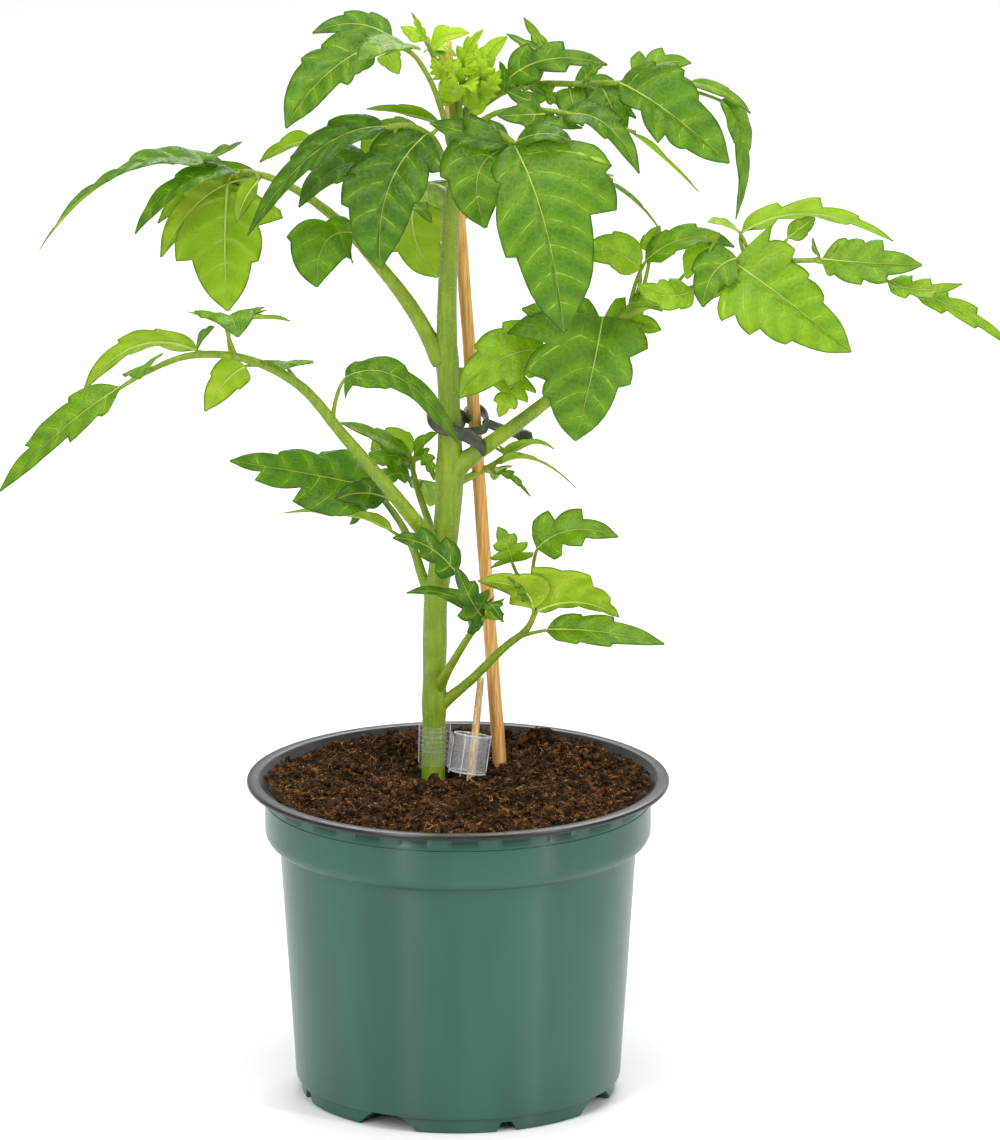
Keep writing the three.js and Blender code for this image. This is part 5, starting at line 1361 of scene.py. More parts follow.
@dataclass
class Leaflet:
    """Builds one leaflet's blade, midrib and short stalk."""

    plan: LeafletPlan
    root: Array
    seed: int
    tone: float
    quilt: float
    thickness: float = 0.34
    stalk_radius: float = 0.62
    fuzz_per_mm: float = 1.8
    fuzz_radius: float = 0.032
    vein_steps: int = 22
    vein_lean: float = 0.3
    vein_curve: float = 1.9

    def __post_init__(self) -> None:
        """Work out the midrib and the frames along it."""
        places = (self.plan.base, self.plan.mid, self.plan.tip)
        self.base, mid, self.tip = (VIEW.spot(place) for place in places)
        self.bend = 2 * mid - (self.base + self.tip) / 2
        samples = self.rib(np.linspace(0, 1, 40))
        self.length = float(np.sum(np.linalg.norm(np.diff(samples, axis=0), axis=1)))
        self.form = self.plan.form.value
        self.random = np.random.default_rng(self.seed)

    def rib(self, share: Array) -> Array:
        """Points of the midrib."""
        s = np.asarray(share)[..., None]
        return (1 - s) ** 2 * self.base + 2 * s * (1 - s) * self.bend + s * s * self.tip

    def frames(self, share: Array) -> tuple[Array, Array, Array]:
        """Directions along the midrib, to its side and off the blade's top."""
        s = np.asarray(share)[..., None]
        run = unit(2 * (1 - s) * (self.bend - self.base) + 2 * s * (self.tip - self.bend))
        facing = np.array(self.plan.face, dtype=float)
        normal = unit(facing - run * (run @ facing)[..., None])
        turn = math.radians(self.plan.twist) * (s - 0.3)
        normal = normal * np.cos(turn) + np.cross(run, normal) * np.sin(turn)
        return run, np.cross(run, normal), normal

    def vein_run(self, out: Array, start: Array) -> Array:
        """How far forward a side vein has come at a distance out, by where it left the midrib."""
        back = 1 - 1.9 * np.exp(-start / 0.07)
        return (self.vein_lean * out + self.vein_curve * out**2) * back

    def vein_start(self, along: Array, out: Array) -> Array:
        """Where on the midrib the side vein through a point starts.

        Args:
            along: How far along the leaflet the point is.
            out: How far from the midrib, both as fractions of its length.

        Returns:
            The starts, as fractions of the midrib.
        """
        low, high = np.full_like(along, -0.02), np.full_like(along, 1.0)
        for _ in range(self.vein_steps):
            middle = (low + high) / 2
            beyond = middle + self.vein_run(out, np.maximum(middle, 0)) > along
            high = np.where(beyond, middle, high)
            low = np.where(beyond, low, middle)
        return np.clip((low + high) / 2, 0, 1)

    def vein_places(self, teeth: Sequence[Place]) -> Array:
        """Starts of one side's veins: one to each large tooth and some between.

        Args:
            teeth: The form's teeth on that side.

        Returns:
            The starts, as fractions of the midrib, from 0 to 1.
        """
        tips = np.array([[tooth[0], tooth[1]] for tooth in teeth]).reshape(-1, 2)
        starts = self.vein_start(tips[:, 0], tips[:, 1])
        gap = max(3.4 / self.length, 0.075)
        kept = [0.0]
        for start, _ in sorted(zip(starts, tips[:, 1])):
            if start - kept[-1] > gap and start < 0.93:
                kept.append(float(start))
        kept.append(1.0)
        places = [0.0]
        for low, high in zip(kept, kept[1:]):
            parts = max(1, int(round((high - low) / max(8.5 / self.length, 0.14))))
            places += list(np.linspace(low, high, parts + 1)[1:])
        return np.array(places)

    def add_fuzz(self, fuzz: Surface, points: Array, side: Array) -> None:
        """Add short hairs along the margins.

        Args:
            fuzz: Where they go.
            points: The blade's grid of points.
            side: Directions to the blade's left at those points.
        """
        random = np.random.default_rng(self.seed + 50_000)
        for column, sign in ((0, -1.0), (-1, 1.0)):
            line, outward = points[:, column], side[:, column] * sign
            far = way_along(line)
            place = random.uniform(0, far[-1], int(far[-1] * self.fuzz_per_mm))
            roots, out = (
                np.stack([np.interp(place, far, values[:, axis]) for axis in range(3)], axis=1)
                for values in (line, outward)
            )
            lean = unit(out + random.normal(0, 0.45, roots.shape))
            tips = roots + lean * random.uniform(0.25, 0.8, (len(place), 1))
            add_spikes(fuzz, roots, tips, self.fuzz_radius)

    def edge_wave(self, far: Array) -> Array:
        """How far the margin lifts or hangs at distances along the leaflet, in millimetres."""
        phase = self.random.uniform(0, 2 * math.pi, 2)
        return 1.0 * np.sin(far / 5.2 + phase[0]) + 0.45 * np.sin(far / 2.3 + phase[1])

    def add_to(self, surface: Surface, fuzz: Surface) -> None:
        """Add the leaflet to its leaf's mesh, and its hairs to theirs."""
        plan, length = self.plan, self.length
        least = 0.35 / (length * plan.width)
        left = outline_of(self.form.left, self.form.lean, least)
        right = outline_of(self.form.right, self.form.lean, least)
        fill = np.linspace(0, 1, int(np.clip(length / 0.75, 14, 60)))
        stations = np.unique(np.round(np.concatenate([left[:, 0], right[:, 0], fill]), 4))
        stations = stations[np.concatenate([[True], np.diff(stations) > 0.0016])]
        half = int(np.clip(length * 0.16, 3, 9))
        right_side = np.linspace(1, 0, half + 1)[:-1] ** 0.85
        left_side = np.linspace(0, 1, half + 1)[1:] ** 0.85
        across = np.concatenate([-right_side, [0.0], left_side])
        wide_left = np.interp(stations, left[:, 0], left[:, 1])
        wide_right = np.interp(stations, right[:, 0], right[:, 1])
        wide = np.where(across[None, :] > 0, wide_left[:, None], wide_right[:, None])
        share = np.abs(across)[None, :]
        out = across[None, :] * wide
        along = stations[:, None] + self.form.lean * wide * (0.62 * share + 0.38 * share**2)
        centre = np.clip(along, 0, 1)
        run, side, normal = self.frames(centre)
        reach = out * length * plan.width
        fold = math.radians(plan.fold)
        size = np.minimum(length / 40.0, 1.0)
        start = self.vein_start(along, np.abs(out))
        at_left, at_right = self.vein_places(self.form.left), self.vein_places(self.form.right)
        spans = [np.interp(start, at, np.arange(len(at))) for at in (at_left, at_right)]
        gaps = [np.interp(start, (at[1:] + at[:-1]) / 2, np.diff(at)) for at in (at_left, at_right)]
        count = np.where(out > 0, spans[0], spans[1])
        spacing = np.where(out > 0, gaps[0], gaps[1]) * length * 0.8
        self.random.uniform(0, 6.28, 4)  # not used, but the draws after it depend on it
        lobe = np.abs(np.sin(math.pi * np.modf(count)[0])) ** 0.9
        inner = np.clip(np.abs(reach) / 2.2, 0, 1) * (1 - share**4)
        half_width = wide * length * plan.width
        room = np.clip((half_width - 2.0) / 8.0, 0, 1)
        quilt = self.quilt * (0.3 + 0.85 * room) * size * lobe * inner
        near = np.maximum(np.abs(reach) - 0.6, 0)
        sway = self.edge_wave(stations * length)[:, None]
        other_sway = -0.6 * np.roll(sway, len(stations) // 5, axis=0)
        wave = share**2 * room * np.where(out > 0, sway, other_sway)
        droop = -0.011 * np.abs(reach) ** 1.7 * np.where(np.abs(reach) > 0, 1.0, 0.0) * size
        lift = (near * math.sin(fold)) + quilt + wave + droop
        points = (
            self.rib(centre)
            + run * ((along - centre) * length)[..., None]
            + side * (reach * math.cos(fold))[..., None]
            + normal * lift[..., None]
        )
        down = unit(np.cross(np.gradient(points, axis=0), np.gradient(points, axis=1)))
        down *= np.sign(np.sum(down * normal, axis=-1, keepdims=True))
        thick = self.thickness * (1 - 0.55 * share**4) * np.ones_like(out)
        tone = self.tone + float(self.random.uniform(-0.16, 0.16)) + 0.15 * max(0.0, 1 - length / 22.0)
        margin = half_width * (1 - share)
        tones = np.full_like(out, min(max(tone, 0.0), 1.0))
        shares = stations[:, None] * np.ones_like(out)
        extra = np.stack([count, reach, margin, spacing, tones, shares], axis=-1).reshape(-1, 6)
        rows, columns = out.shape
        top = (points + down * (thick / 2)[..., None]).reshape(-1, 3)
        under = (points - down * (thick / 2)[..., None]).reshape(-1, 3)
        faces = grid_faces(rows, columns)
        surface.add(np.vstack([top, under]), faces[:, ::-1], 0, np.vstack([extra, extra]))
        first = surface.count - 2 * rows * columns
        surface.patch(faces + rows * columns + first, 1)
        line = np.arange(rows * columns).reshape(rows, columns)
        ring = np.concatenate([line[0, :], line[1:, -1], line[-1, -2::-1], line[-2:0:-1, 0]])
        beside = np.roll(ring, -1)
        rim = np.stack([ring, beside, beside + rows * columns, ring + rows * columns], axis=1) + first
        surface.patch(rim, 1)
        self.add_rib(surface, size)
        self.add_fuzz(fuzz, points, side)

    def add_rib(self, surface: Surface, size: float) -> None:
        """Add the short stalk, which runs on as a ridge under the blade."""
        shares = np.linspace(0.0, 0.93, 16)
        run, _, normal = self.frames(shares)
        wide = (self.stalk_radius * 0.75 * (1 - shares) + 0.1) * (0.6 + 0.4 * size)
        ridge = self.rib(shares) - normal * (0.10 + 0.12 * wide)[:, None]
        gap = float(np.linalg.norm(self.base - self.root))
        if gap > 0.6:
            leave = unit(self.base - self.root)
            steps = max(3, int(gap / 1.5))
            t = np.linspace(0, 1, steps, endpoint=False)[:, None]
            pull = self.base - run[0] * gap * 0.35
            middle = pull * 0.6 + (self.root + leave * gap * 0.5) * 0.4
            link = (1 - t) ** 2 * self.root + 2 * t * (1 - t) * middle + t * t * ridge[0]
            radius = self.stalk_radius * (1.25 - 0.35 * t[:, 0])
            add_tube(surface, np.vstack([np.column_stack([link, radius]), [[*ridge[0], wide[0]]]]), 8, 2)
        add_tube(surface, np.column_stack([ridge, wide]), 8, 3)


@dataclass
class Leaf:
    """Builds one compound leaf or young shoot as a single mesh."""

    plan: LeafPlan
    seed: int
    flare: float = 1.3
    sides: int = 16

    def stalk_paths(self) -> list[Array]:
        """The stalks as smooth paths with radii."""
        slim = self.plan.slim
        return [
            smooth_path(np.array([[*VIEW.spot(place), place[3] * slim] for place in stalk]), 10)
            for stalk in self.plan.stalks
        ]

    @staticmethod
    def on_path(path: Array, share: float) -> Array:
        """Point at a share of a path's length."""
        far = way_along(path)
        return np.array([np.interp(share * far[-1], far, path[:, axis]) for axis in range(3)])

    def build(self, materials: Sequence[bpy.types.Material], fuzz: Surface) -> list[Array]:
        """Make the leaf.

        Args:
            materials: Top side, underside, stalk and rib.
            fuzz: Where the hairs of its margins go.

        Returns:
            The stalks' paths, for their hairs.
        """
        surface = Surface()
        paths = self.stalk_paths()
        for path in paths:
            far = way_along(path)
            flared = path.copy()
            flared[:, 3] *= 1 + (self.flare - 1) * np.exp(-np.maximum(far - 4.0, 0) / 3.0)
            add_tube(
                surface, flared, self.sides, 2,
                lambda turn, way: 1 + 0.05 * np.cos(3 * turn) + 0.02 * np.sin(way * 0.9),
            )
        for number, leaflet in enumerate(self.plan.leaflets):
            root = self.on_path(paths[leaflet.on], leaflet.at)
            tone = self.plan.tone + FORM_TONES.get(leaflet.form, 0.0)
            made = Leaflet(leaflet, root, self.seed * 100 + number, tone, self.plan.quilt)
            made.add_to(surface, fuzz)
        surface.piece(f"{self.plan.name}_grown", materials, [self.plan.name])
        return paths


# ---- Stem and hairs ----


@dataclass
class Stem:
    """The main stem, with faint ribs and swellings where stalks leave it."""

    sides: int = 48
    steps: int = 24
    swellings: tuple[tuple[float, float], ...] = (
        (704, 0.10), (552, 0.10), (470, 0.14), (362, 0.12), (205, 0.2), (140, 0.25),
    )

    def build(self, skin: bpy.types.Material) -> Array:
        """Make the stem.

        Args:
            skin: Its material.

        Returns:
            Its path, for its hairs.
        """
        path = smooth_path(np.array([[*VIEW.spot(place), place[3]] for place in STEM]), self.steps)
        for down, amount in self.swellings:
            height = VIEW.spot((450, down, 18))[2]
            path[:, 3] *= 1 + amount * np.exp(-(((path[:, 2] - height) / 4.5) ** 2))
        surface = Surface()
        add_tube(
            surface, path, self.sides, 0,
            lambda turn, way: (
                1 + 0.022 * np.cos(5 * turn + way * 0.01) + 0.012 * np.sin(way * 0.35) * np.cos(2 * turn)
            ),
        )
        surface.piece("main_stem_skin", [skin], ["main_stem"])
        return path


@dataclass
class Hairs:
    """Short pale hairs on stem and stalks."""

    seed: int = 7
    per_mm2: float = 1.5
    length: tuple[float, float] = (0.5, 1.9)
    radius: float = 0.036

    def build(self, paths: Sequence[Array], material: bpy.types.Material) -> None:
        """Make the hairs.

        Args:
            paths: Stem and stalks, with radii.
            material: Their material.
        """
        random = np.random.default_rng(self.seed)
        surface = Surface()
        for path in paths:
            along, side, other = walk_frames(path[:, :3])
            far = way_along(path)
            count = int(far[-1] * 2 * math.pi * float(np.mean(path[:, 3])) * self.per_mm2)
            place = random.uniform(0, far[-1], count)
            index = np.clip(np.searchsorted(far, place) - 1, 0, len(far) - 2)
            t = ((place - far[index]) / np.maximum(far[index + 1] - far[index], 1e-9))[:, None]
            centre = path[index, :3] * (1 - t) + path[index + 1, :3] * t
            radius = path[index, 3] * (1 - t[:, 0]) + path[index + 1, 3] * t[:, 0]
            turn = random.uniform(0, 2 * math.pi, count)[:, None]
            outward = side[index] * np.cos(turn) + other[index] * np.sin(turn)
            keep = centre[:, 2] > Soil.level + 1.5
            lean = unit(
                outward + along[index] * random.normal(0, 0.35, (count, 1))
                + random.normal(0, 0.25, (count, 3))
            )
            long = random.uniform(*self.length, count) * np.clip(radius / 2.2, 0.55, 1.0)
            roots = centre + outward * (radius * 0.97)[:, None]
            tips = roots + lean * long[:, None]
            add_spikes(surface, roots[keep], tips[keep], self.radius)
        surface.piece("stem_hairs", [material])


# ---- Pot and soil ----


@dataclass
class Pot:
    """The round pot: lip, pockets under it, collar, tapered wall and notched foot."""

    lip_radius: float = 70.0
    lip_inner: float = 65.4
    top: float = 107.2
    lip_height: float = 2.0
    collar_radius: float = 64.0
    collar_low: float = 90.4
    collar_middle: float = 95.0
    collar_end: float = 85.6
    collar_wall: float = 2.2
    wall_top: float = 59.2
    wall_low: float = 54.0
    foot: float = 52.2
    foot_step: float = 4.6
    wall: float = 1.3
    floor_low: float = 5.7
    floor_top: float = 7.2
    foot_inner: float = 39.0
    pad: float = 12.0
    pockets: int = 24
    pocket_width: float = 10.0
    pocket_low: float = 102.0
    pocket_deep: float = 0.5
    band_low: float = 100.3
    band_deep: float = 0.22
    pocket_turn: float = 2.2
    pocket_ease: float = 0.6
    small_gap: tuple[float, float, float, float] = (18.0, 7.2, 3.6, 3.3)
    large_gap: tuple[float, float, float, float] = (-27.0, 21.5, 9.0, 5.4)

    def section(self) -> tuple[Array, list[int]]:
        """The wall's section from the middle of the underside round to the middle of the floor.

        Returns:
            Points (radius, height), and which are the pockets' rows.
        """
        lip_low = self.top - self.lip_height
        inner = self.collar_radius - self.collar_wall
        outline: list[tuple[float, float]] = [
            (0.0, 0.0), (self.pad - 0.5, 0.0), (self.pad, 0.3), (self.pad + 0.6, self.floor_low - 0.4),
            (self.pad + 1.2, self.floor_low), (self.foot_inner - 0.4, self.floor_low),
            (self.foot_inner, self.floor_low - 0.5), (self.foot_inner + 0.8, 0.4),
            (self.foot_inner + 1.4, 0.0), (self.foot - 0.9, 0.0), (self.foot - 0.25, 0.2),
            (self.foot, 0.8), (self.foot + 0.1, self.foot_step),
            (self.wall_low - 0.7, self.foot_step + 0.35), (self.wall_low - 0.1, self.foot_step + 0.9),
            (self.wall_low + 0.1, self.foot_step + 2.0),
        ]
        for share in np.linspace(0.12, 0.985, 7):
            height = self.foot_step + 2.0 + (self.collar_end - self.foot_step - 2.2) * share
            outline.append((self.wall_low + (self.wall_top - self.wall_low) * share, height))
        outline.append((self.wall_top + 0.02, self.collar_end - 0.55))
        outline.append((self.wall_top + 0.14, self.collar_end - 0.1))
        for turn in np.linspace(0.0, math.pi / 2, 9):
            outline.append((
                self.wall_top + 0.5 + (self.collar_radius - self.wall_top - 0.5) * math.sin(turn),
                self.collar_low - (self.collar_low - self.collar_end) * math.cos(turn),
            ))
        band = self.collar_radius - self.band_deep
        outline += [
            (self.collar_radius, self.collar_middle), (self.collar_radius, self.band_low - 0.25),
            (band, self.band_low), (band, self.pocket_low - 0.6),
        ]
        rows = [len(outline) + offset for offset in range(2)]
        outline += [
            (band, self.pocket_low + 0.3), (band, lip_low - 0.25),
            (self.collar_radius + 0.1, lip_low), (self.lip_radius - 1.1, lip_low + 0.05),
            (self.lip_radius - 0.35, lip_low + 0.25), (self.lip_radius, lip_low + 0.75),
            (self.lip_radius, self.top - 0.75), (self.lip_radius - 0.3, self.top - 0.22),
            (self.lip_radius - 1.0, self.top), (self.lip_inner + 1.1, self.top),
            (self.lip_inner + 0.4, self.top - 0.2), (self.lip_inner, self.top - 0.7),
            (inner + 1.2, lip_low), (inner, lip_low - 1.6), (inner, self.collar_low + 0.6),
            (self.wall_top - self.wall, self.collar_end - 2.0),
            (self.wall_low - self.wall, self.floor_top + 1.6),
            (self.wall_low - self.wall - 1.6, self.floor_top), (0.0, self.floor_top),
        ]
        return np.array(outline), rows

    def gap_height(self, turn: Array) -> Array:
        """How high the foot is cut out at a turn from the front towards +X, in degrees."""
        height = np.zeros_like(turn)
        for start, low, high, tall in (self.small_gap, self.large_gap):
            away = np.abs((turn - start + 45) % 90 - 45)
            across = np.radians(away) * self.foot
            slope = (low / 2 - across) / max((low - high) / 2, 0.1)
            height = np.maximum(height, np.clip(slope, 0, 1) ** 0.8 * tall)
        return height

    @staticmethod
    def edges(centre: float, half: float, ease: float) -> list[float]:
        """Angles just inside and just outside both edges of a cut."""
        return [centre + sign * (half + shift) for sign in (-1, 1) for shift in (-ease, ease)]

    def turns(self) -> Array:
        """Angles of the columns: even, and doubled at the edges of pockets and gaps."""
        angles = list(np.arange(0, 360, 1.5))
        half = math.degrees(self.pocket_width / 2 / self.collar_radius)
        for pocket in range(self.pockets):
            centre = self.pocket_turn + pocket * 360 / self.pockets
            angles += self.edges(centre, half, self.pocket_ease)
        for start, low, high, _ in (self.small_gap, self.large_gap):
            for quarter in range(4):
                for width in (low, high):
                    edge = math.degrees(width / 2 / self.foot)
                    angles += self.edges(start + 90 * quarter, edge, 0.12)
        return np.unique(np.round(np.mod(angles, 360), 3))

    def build(
        self, green: bpy.types.Material, black: bpy.types.Material, shaded: bpy.types.Material
    ) -> None:
        """Make the pot as one two-tone piece.

        Args:
            green: Outside.
            black: Lip and inside.
            shaded: Pockets under the lip, in a darker green that paints the shade under the lip.
        """
        section, pocket_rows = self.section()
        turns = self.turns()
        radius = np.repeat(section[:, 0:1], len(turns), axis=1)
        height = np.repeat(section[:, 1:2], len(turns), axis=1)
        pitch = 360 / self.pockets
        away = np.abs((turns - self.pocket_turn + pitch / 2) % pitch - pitch / 2)
        half = math.degrees(self.pocket_width / 2 / self.collar_radius)
        inside = np.clip((half + self.pocket_ease - away) / (2 * self.pocket_ease), 0, 1)
        for row in pocket_rows:
            radius[row] -= self.pocket_deep * inside
        cut = self.gap_height(turns)
        outside = np.arange(len(section)) < 18
        wall = (section[:, 0] > self.foot_inner - 0.5) & (section[:, 1] < 6.5) & outside
        lowest = section[:, 1] * 0.02
        height[wall] = np.maximum(height[wall], cut[None, :] + lowest[wall, None])
        angle = np.radians(turns)
        points = np.stack([radius * np.sin(angle), -radius * np.cos(angle), height], axis=-1)
        rows = len(section)
        faces = grid_faces(rows, len(turns), closed=True)
        lip_start = pocket_rows[-1] + 1
        row_of = faces[:, 0] // len(turns)
        dark = (row_of >= lip_start).astype(np.int32)
        column_of = faces[:, 0] % len(turns)
        deep = np.minimum(inside[column_of], inside[(column_of + 1) % len(turns)]) > 0.6
        # The pockets' faces take the darker green, which is painted shade under the lip.
        dark[(row_of == pocket_rows[0]) & deep] = 2
        surface = Surface()
        surface.add(points.reshape(-1, 3), faces)
        surface.finishes[-1] = dark
        surface.piece("pot_moulded", [green, black, shaded], ["pot"], 38.0)


Heap = tuple[float, float, float, float]  # place, distance across, and height or, below 0, depth


@dataclass
class Soil:
    """Peat in the pot: a rough bed, crumbs, and rusty fibres.

    stem_spot is the place and reach of the calm ring round the stem, where no crumbs or fibres lie. The bed
    reaches out to rim_reaches where it is rim_heights high, less rim_room. under lists radius and height
    of its buried side.
    """

    level: float = 104.3
    radius: float = 61.2
    seed: int = 11
    rings: int = 150
    columns: int = 420
    crumbs: int = 6000
    fibres: int = 6500
    wave: float = 23.0
    lump: float = 0.75
    lump_high: float = 1.6
    fine_high: float = 1.2
    edge_heights: tuple[float, float] = (105.4, 106.8)
    hollow: Heap = (1.5, 17.5, 15.0, -3.4)
    heaps: tuple[Heap, ...] = (
        (-27, 18, 9, -3), (47, 40, 10, 2.4), (27, 55, 9, 2.6), (-52, -8, 9, 1), (22, 8, 6, -1.6),
    )
    clods: tuple[Heap, ...] = (
        (5, 58, 4, 2.8), (24, 54, 5, 1.8), (-20, 57, 4, 1.2), (-58, 6, 4, 1.2), (40, -30, 5, 1.0),
    )
    stem_spot: tuple[float, float, float] = (-8.2, 16.5, 7.2)
    rim_circle: float = 62.5
    rim_heights: tuple[float, ...] = (103.6, 105.2, 106.5)
    rim_reaches: tuple[float, ...] = (61.8, 63.0, 65.4)
    rim_room: float = 0.15
    under: tuple[tuple[float, float], ...] = (
        (61.2, 103.4), (61.2, 92.0), (57.0, 83.6), (52.0, 9.2), (50.2, 7.6), (0.3, 7.6),
    )

    @staticmethod
    def near(heap: Heap, x: float, y: float) -> float:
        """How close a point is to a heap's middle, from 1 down to 0."""
        return math.exp(-((x - heap[0]) ** 2 + (y - heap[1]) ** 2) / heap[2] ** 2)

    def height(self, x: float, y: float) -> float:
        """Height of the bed over a point, in millimetres."""
        pace = 2 * math.pi / self.wave
        waves = (
            math.sin(pace * (0.92 * x + 0.31 * y) + 1.1) + math.sin(pace * (0.88 * y - 0.35 * x) + 0.4)
            + math.sin(pace * (0.62 * x - 0.75 * y) + 2.2)
        )
        hollow = self.near(self.hollow, x, y)
        main = self.level + self.lump * waves * (1 - hollow) + self.hollow[3] * hollow
        main += sum(heap[3] * self.near(heap, x, y) for heap in self.heaps)
        lumps = noise.fractal(Vector((x * 0.2, y * 0.2, 7.7)), 0.8, 2.1, 4)
        fine = noise.fractal(Vector((x * 0.6, y * 0.6, 1.3)), 0.6, 2.2, 4)
        edge = min(max((math.hypot(x, y) - 56) / 6, 0), 1)
        kept = min(max(main, self.edge_heights[0]), self.edge_heights[1])
        clods = sum(clod[3] * self.near(clod, x, y) for clod in self.clods)
        calm = 1 - self.near((*self.stem_spot, 0.0), x, y)
        rough = self.lump_high * lumps * (1 - 0.3 * edge) + self.fine_high * fine * (1 - 0.5 * edge)
        return main + (kept - main) * edge + clods + rough * calm

    def build(
        self, bed: bpy.types.Material, crumb: bpy.types.Material, fibre: bpy.types.Material
    ) -> None:
        """Make bed, crumbs and fibres.

        Args:
            bed: Finish of the bed.
            crumb: Finish of the crumbs.
            fibre: Finish of the fibres.
        """
        self.add_bed(bed)
        self.add_crumbs(crumb)
        self.add_fibres(fibre)

    def add_bed(self, bed: bpy.types.Material) -> None:
        """Make the bed as one closed body."""
        turn = circle(self.columns)
        beyond = zip(self.rim_circle * np.cos(turn), self.rim_circle * np.sin(turn))
        rim = np.array([self.height(a, b) for a, b in beyond])
        reach = np.interp(rim, self.rim_heights, self.rim_reaches) - self.rim_room
        shares = np.concatenate([[0.005], np.linspace(0.02, 1.0, self.rings - 1)])
        x, y = shares[:, None] * reach * np.cos(turn), shares[:, None] * reach * np.sin(turn)
        z = np.array([[self.height(a, b) for a, b in zip(*pair)] for pair in zip(x, y)])
        points = np.stack([x, y, z], axis=-1).reshape(-1, 3)
        side = np.array([[(r * math.cos(a), r * math.sin(a), h) for a in turn] for r, h in self.under])
        surface = Surface()
        faces = grid_faces(self.rings + len(self.under), self.columns, closed=True)
        middles = [[0, 0, self.height(0, 0)], [0, 0, self.under[-1][1]]]
        every = np.vstack([points, side.reshape(-1, 3), middles])
        index = np.arange(self.columns)
        beside = np.roll(index, -1)
        last = (self.rings + len(self.under) - 1) * self.columns
        surface.add(every, faces[:, ::-1])
        top = np.stack([np.full(self.columns, len(every) - 2), index, beside], axis=1)
        low = np.stack([np.full(self.columns, len(every) - 1), last + beside, last + index], axis=1)
        surface.patch(np.vstack([top, low]), 0)
        surface.piece("soil_bed", [bed], ["soil"])

    def scatter(self, random: np.random.Generator, count: int, reach: float) -> Array:
        """Random points over the bed.

        Args:
            random: The generator.
            count: How many.
            reach: Radius that they stay within.

        Returns:
            Points on the bed.
        """
        away = reach * np.sqrt(random.uniform(0, 1, count))
        turn = random.uniform(0, 2 * math.pi, count)
        x, y = away * np.cos(turn), away * np.sin(turn)
        clear = np.hypot(x - self.stem_spot[0], y - self.stem_spot[1]) < self.stem_spot[2]
        x, y = np.where(clear, -x, x), np.where(clear, -y, y)
        return np.array([[a, b, self.height(a, b)] for a, b in zip(x, y)])

    def add_crumbs(self, crumb: bpy.types.Material) -> None:
        """Make loose crumbs of peat."""
        random = np.random.default_rng(self.seed)
        golden = (1 + math.sqrt(5)) / 2
        corners = unit(np.array([
            [0, 1, golden], [0, -1, golden], [0, 1, -golden], [0, -1, -golden],
            [1, golden, 0], [-1, golden, 0], [1, -golden, 0], [-1, -golden, 0],
            [golden, 0, 1], [-golden, 0, 1], [golden, 0, -1], [-golden, 0, -1],
        ]))
        faces = np.array([
            [0, 1, 8], [0, 9, 1], [0, 4, 5], [0, 8, 4], [0, 5, 9], [1, 6, 8], [1, 7, 6], [1, 9, 7],
            [2, 3, 11], [2, 10, 3], [2, 5, 4], [2, 4, 10], [2, 11, 5], [3, 6, 7], [3, 10, 6], [3, 7, 11],
            [4, 8, 10], [5, 11, 9], [6, 10, 8], [7, 9, 11],
        ])
        places = self.scatter(random, self.crumbs, self.radius + 0.8)
        size = 0.2 + 1.0 * random.uniform(0, 1, self.crumbs) ** 3.0
        size = size + 1.0 * random.uniform(0, 1, self.crumbs) ** 14.0
        stretch = random.uniform(0.35, 1.6, (self.crumbs, 1, 3))
        stretch = stretch * random.uniform(0.55, 1.45, (self.crumbs, 12, 3))
        spin = np.linalg.qr(random.normal(size=(self.crumbs, 3, 3)))[0]
        flip = np.sign(np.linalg.det(spin))[:, None, None]
        points = np.einsum("nij,nkj->nki", spin * flip, corners[None] * stretch) * size[:, None, None]
        lift = np.stack([np.zeros_like(size)] * 2 + [size * 0.3], axis=1)
        points += (places + np.array([0, 0, 0.12]) + lift)[:, None]
        every = (faces[None] + np.arange(self.crumbs)[:, None, None] * 12).reshape(-1, 3)
        surface = Surface()
        surface.add(points.reshape(-1, 3), every)
        surface.piece("soil_crumbs", [crumb])

    def add_fibres(self, fibre: bpy.types.Material) -> None:
        """Make thin curved fibres lying on the bed."""
        random = np.random.default_rng(self.seed + 1)
        places = self.scatter(random, self.fibres, self.radius - 0.5)
        surface = Surface()
        for place in places:
            heading = random.uniform(0, 2 * math.pi)
            long = 1.0 + 5.5 * random.uniform() ** 3
            curl = random.normal(0, 0.9)
            rise = random.uniform(-0.3, 1.1)
            steps = np.linspace(-0.5, 0.5, 4)
            bow = steps * long
            turn = heading + curl * steps
            x = place[0] + np.cos(turn) * bow
            y = place[1] + np.sin(turn) * bow
            away = np.hypot(x, y)
            shrink = np.minimum(1, (self.radius + 0.4) / np.maximum(away, 1e-6))
            x, y = x * shrink, y * shrink
            z = np.array([self.height(a, b) for a, b in zip(x, y)]) + 0.12
            z = np.maximum(z, place[2] + 0.1) + rise * (steps + 0.5) * min(long, 4) * 0.35
            radius = (0.08 + 0.16 * random.uniform() ** 2) * (1 - 1.1 * np.abs(steps) ** 1.5)
            add_tube(surface, np.column_stack([x, y, z, radius]), 3)
        surface.piece("soil_fibres", [fibre])


# ---- Sticks and clips ----


